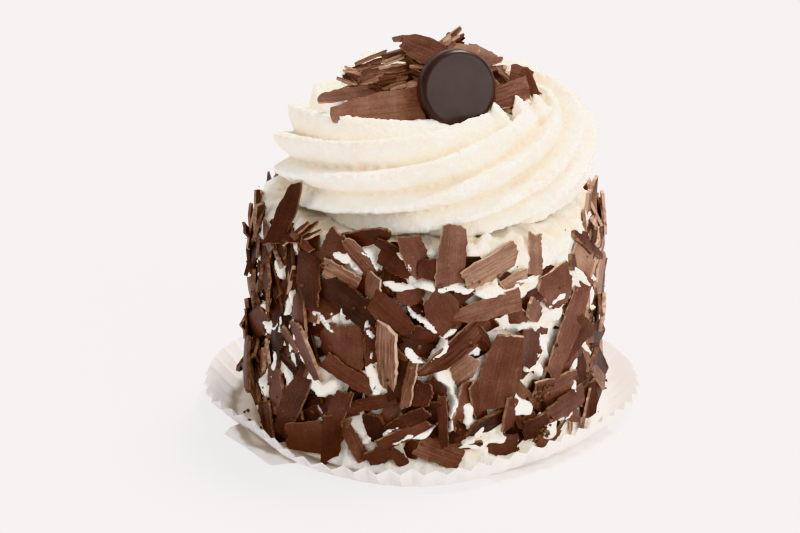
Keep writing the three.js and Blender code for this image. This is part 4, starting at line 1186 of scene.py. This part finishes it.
# %% The large shavings of the heap
# These rows are for lay_by_hand too. The last ones hold up those that show.
HEAP_LARGE = [
    (-10.1, -16.2, 76.6, 19.9, 7.0, -4, 8, 55, 0.34, 1.0, 0.62, 0.3, 0.012),
    (-16.7, -10.5, 78.4, 13.3, 2.6, 13, 6, 40, 0.7, 0.8, 0.4, 0.5, 0.0),
    (-11.1, -2.0, 83.8, 9.6, 2.2, 12, 14, 30, 0.8, 0.3, 0.5, 0.9, 0.0),
    (-15.8, -4.0, 81.8, 4.5, 1.6, 0, -9, 20, 0.8, 0.8, 0.45, 0.8, 0.0),
    (-16.3, -7.0, 80.5, 4.5, 2.2, -28, -19, 10, 0.6, 0.7, 0.25, 0.8, 0.0),
    (-15.6, -5.5, 80.9, 3.4, 1.8, -18, -15, 50, 0.8, 0.5, 0.3, 0.8, 0.0),
    (-12.4, -4.0, 82.4, 8.2, 2.6, -14, 14, 25, 0.7, 0.8, 0.5, 1.0, 0.0),
    (-12.0, -7.0, 81.3, 4.1, 4.0, 0, 13, 35, 0.6, 0.8, 0.42, 1.0, 0.0),
    (-7.0, -5.0, 83.2, 7.6, 3.2, 0, 10, 30, 0.7, 0.7, 0.62, 1.0, 0.0),
    (-6.3, -1.5, 84.8, 7.8, 3.0, 8, 13, 20, 0.6, 0.5, 0.45, 0.9, 0.0),
    (-5.2, -6.5, 81.8, 10.7, 3.0, 5, 8, 35, 0.5, 0.8, 0.55, 1.0, 0.0),
    (-5.7, -8.5, 80.3, 6.5, 2.6, 9, 9, 30, 0.6, 0.7, 0.45, 1.0, 0.0),
    (-12.2, -8.0, 80.0, 7.0, 2.2, 0, 4, 25, 0.6, 0.7, 0.3, 1.0, 0.0),
    (-1.4, -6.5, 83.4, 4.3, 3.4, -13, -8, 30, 0.8, 0.7, 0.4, 0.9, 0.0),
    (-1.5, -10.2, 79.8, 4.4, 3.2, 0, 0, 30, 0.8, 0.8, 0.7, 0.7, 0.0),
    (-5.5, -2.0, 88.5, 2.5, 1.4, 0, 11, 20, 0.5, 0.9, 0.35, 0.6, 0.0),
    (-0.1, -4.5, 86.9, 10.2, 5.8, -18, -18, 48, 0.35, 0.75, 0.42, 0.4, 0.0),
    (5.4, 0.0, 87.8, 7.5, 3.2, 18, 30, 10, 0.7, 0.9, 0.55, 0.9, 0.0),
    (7.4, -1.0, 87.5, 5.9, 2.6, 22, 26, 75, 0.7, 0.9, 0.2, 0.9, 0.0),
    (5.5, -2.5, 87.9, 2.5, 1.8, 27, 26, 60, 0.7, 0.9, 0.5, 0.9, 0.0),
    (8.0, -4.0, 85.6, 9.0, 4.6, -13, -5, 35, 0.7, 0.8, 0.68, 0.5, 0.0),
    (12.4, -3.0, 85.1, 6.0, 3.6, -21, -21, 30, 0.6, 0.8, 0.55, 0.6, 0.0),
    (15.5, -5.0, 84.4, 3.6, 1.5, 0, 11, 40, 0.6, 0.4, 0.66, 0.6, 0.0),
    (17.0, -4.7, 80.3, 6.4, 3.4, -36, -32, 40, 0.8, 0.9, 0.42, 0.8, 0.0),
    (19.2, -12.0, 79.2, 7.8, 4.6, 15, 14, 55, 1.0, 0.95, 0.5, 0.7, 0.0),
    (21.4, -6.7, 81.7, 4.6, 3.8, -13, -11, 50, 0.8, 0.7, 0.45, 0.3, 0.0),
    (23.1, -8.0, 80.0, 6.2, 3.0, -43, -41, 50, 0.8, 0.5, 0.45, 0.3, 0.0),
    (21.1, -13.0, 76.9, 4.1, 1.8, -46, -47, 40, 0.8, 0.4, 0.4, 0.5, 0.0),
    (1.5, -1.0, 84.4, 9.0, 3.6, 12, 8, 25, 0.7, 0.9, 0.4, 0.6, 0.0),
    (-2.5, -1.5, 84.4, 8.0, 3.2, -20, 6, 30, 0.7, 0.8, 0.35, 0.6, 0.0),
    (4.0, 1.5, 84.6, 8.0, 3.0, 35, 12, 10, 0.7, 0.8, 0.45, 0.5, 0.0),
    (0.5, 0.0, 85.6, 7.5, 3.2, -40, 4, 25, 0.8, 0.7, 0.5, 0.5, 0.0),
    (5.6, 0.4, 86.0, 7.0, 3.0, 62, 34, 10, 0.7, 0.8, 0.4, 0.5, 0.0),
    (6.6, -1.6, 85.6, 6.0, 3.4, 10, 20, 60, 0.8, 0.8, 0.3, 0.5, 0.0),
]


def frayed(row, draw):
    """A fibrous shaving splits along its length: the rows of its splinters, side by side."""
    x, y, up, long, wide, heading, climb, roll, tail, head, tone, grain, curl = row
    if grain < 0.75:
        return [row]
    turn, over = math.radians(heading), math.radians(roll)
    splinters = []
    for side in (-0.4, -0.05, 0.35):
        away, slid = side * wide, draw(-0.12, 0.12) * long
        right = x - away * math.sin(turn) * math.cos(over) + slid * math.cos(turn)
        back = y + away * math.cos(turn) * math.cos(over) + slid * math.sin(turn)
        place = (right, back, up + away * math.sin(over) + draw(-0.3, 0.3))
        size = (long * draw(0.55, 1.0), max(0.8, wide * draw(0.28, 0.5)))
        turns = (heading + draw(-18, 18), climb + draw(-10, 10), roll + draw(-40, 40))
        ends = (tail * draw(0.4, 1), head * draw(0.4, 1))
        splinters.append((*place, *size, *turns, *ends, tone + draw(-0.25, 0.5), grain, curl))
    return splinters


# %% The small shavings of the heap, and all of them
BRINK = 17.8  # beyond it a small shaving would hang over the cream


def small_heap_shavings(everything, count, draw):
    half = 32
    heights = heap_field(half)
    for i in range(count):
        round_share, far_share = spread(i)
        distance, turn = HEAP["spread"] * math.sqrt(far_share), 2 * math.pi * round_share
        x, y = distance * math.cos(turn), distance * math.sin(turn)
        if math.hypot(x - 4.5, y + 19) < 12 or y < -13:
            continue  # the disc and the large plate are there
        splinter = draw(0, 1) < 0.85
        long = draw(3.5, 8) if splinter else draw(5, 9)
        wide = draw(0.7, 1.6) if splinter else long * draw(0.25, 0.4)
        lean = draw(-90, 90)
        thick = draw(0.5, 0.9)
        if heights[round(x + half), round(y + half)] > heap_limit(x, y) - 0.5:
            continue
        tilt = (draw(-0.3, 0.3), draw(-0.2, 0.2))
        up, *slopes = lay(heights, (x + half, y + half), (long, wide), lean, 0, 0.6, tilt, thick)
        shape = cut_shaving(long, wide, draw(0.35, 1), draw(0.35, 1), thick, (2, 5), draw)
        curl, gutter = draw(-0.05, 0.05), draw(-0.3, 0.3) if splinter else draw(-0.08, 0.08)
        bend_shaving(shape, curl, gutter, draw(-0.3, 0.3))
        look = (0.15 + 0.9 * draw(0, 1), draw(0.7, 1), draw(0, 9))
        if distance > BRINK:
            shape.free()
            continue
        place = Matrix.Translation((HEAP["x"] + x, HEAP["y"] + y, up))
        whole = place @ Matrix.Rotation(-math.radians(lean), 4, "Z")
        join_shaving(everything, shape, whole @ tilted(*slopes), look)


def heap():
    everything = bmesh.new()
    # Painted shade: the core is painted near black, as the shade deep in the gaps of the heap.
    join_shaving(everything, heap_core(), Matrix.Translation((HEAP["x"], HEAP["y"], 0)), (0.08, 0.4, 1.0))
    draw = Drawer(5)
    small_heap_shavings(everything, 260, draw)
    for row in HEAP_LARGE:
        for splinter in frayed(row, draw):
            lay_by_hand(everything, splinter, draw)
    finish_piece("heap_of_shavings", everything, [shaved, broken], "shavings_heap")


heap()

# %% [markdown]
# ## The chocolate disc
#
# The disc was cast flat and stands on its edge in the cream. A cylinder of its thickness is rounded
# at both edges with a bevel, and then stood up, turned and leaned back.


# %% Disc
def chocolate_disc():
    shape = bmesh.new()
    sizes = {"radius1": DISC["radius"], "radius2": DISC["radius"], "depth": DISC["thick"]}
    bmesh.ops.create_cone(shape, cap_ends=True, segments=128, **sizes)
    edges = [edge for edge in shape.edges if abs(edge.verts[0].co.z - edge.verts[1].co.z) < 0.01]
    rounding = {"offset": DISC["edge"], "segments": 6, "profile": 0.5, "affect": "EDGES", "material": -1}
    bmesh.ops.bevel(shape, geom=edges, **rounding)
    for face in shape.faces:
        face.smooth = len(face.verts) == 4
    place = Matrix.Translation(DISC["middle"]) @ Matrix.Rotation(math.radians(DISC["turned"]), 4, "Z")
    place = place @ Matrix.Rotation(math.radians(90 - DISC["leaned"]), 4, "X")
    bmesh.ops.transform(shape, matrix=place, verts=shape.verts)
    finish_piece("disc_of_chocolate", shape, [moulded], "chocolate_disc")


chocolate_disc()

# %% [markdown]
# ## Light and floor
#
# The cake stands on a white table in soft studio light. Most of it comes from the right and a little
# behind, so the left side of the rosette falls into a warm shade, and a bright room fills the rest.


# %% Table
def table():
    shape = bmesh.new()
    bmesh.ops.create_grid(shape, x_segments=1, y_segments=1, size=6)
    material, tree, shader = new_material("Opal acrylic table, lit from below")
    place = add(tree, "TexCoord").outputs["Object"]
    soft = add(tree, "TexNoise", {"Vector": place, "Scale": 1 / 0.2, "Detail": 2.0})
    colours = add(tree, "ValToRGB", {"Fac": soft})
    blend_stops(colours, [(0.3, "#8d8b8c"), (0.7, "#908e8f")])
    set_inputs(tree, shader, {"Base Color": colours, "Roughness": 0.6})
    set_inputs(tree, shader, {"Emission Color": linear("#fffdfd"), "Emission Strength": 0.72})
    mesh = as_mesh(shape, "table")
    mesh.materials.append(material)
    floor = show("table", mesh)


table()


# %% Lights
def lamp(name, kind, place, strength, colour, settings):
    light = bpy.data.lights.new(name, kind)
    light.energy = strength
    light.color = linear(colour)[:3]
    for key, value in settings.items():
        setattr(light, key, value)
    holder = show(name, light)
    holder.location = place
    holder.rotation_euler = (Vector(place) - AIM).to_track_quat("Z", "Y").to_euler()


lamp("large window on the right", "SUN", (0.6, 0.5, 1.6), 4.0, "#fffaf4", {"angle": math.radians(20)})
lamp("white card on the right of the front", "AREA", (0.9, -0.9, 0.5), 10.0, "#ffffff", {"size": 1.0})
lamp("white card on the left", "AREA", (-0.9, -0.2, 0.06), 0.8, "#ffffff", {"size": 0.3})

room = bpy.data.worlds.new("room")
bpy.context.scene.world = room
room.use_nodes = True
set_inputs(room.node_tree, room.node_tree.nodes["Background"], {"Color": linear("#fcfbfc"), "Strength": 0.7})
bpy.context.scene.view_settings.view_transform = "Khronos PBR Neutral"
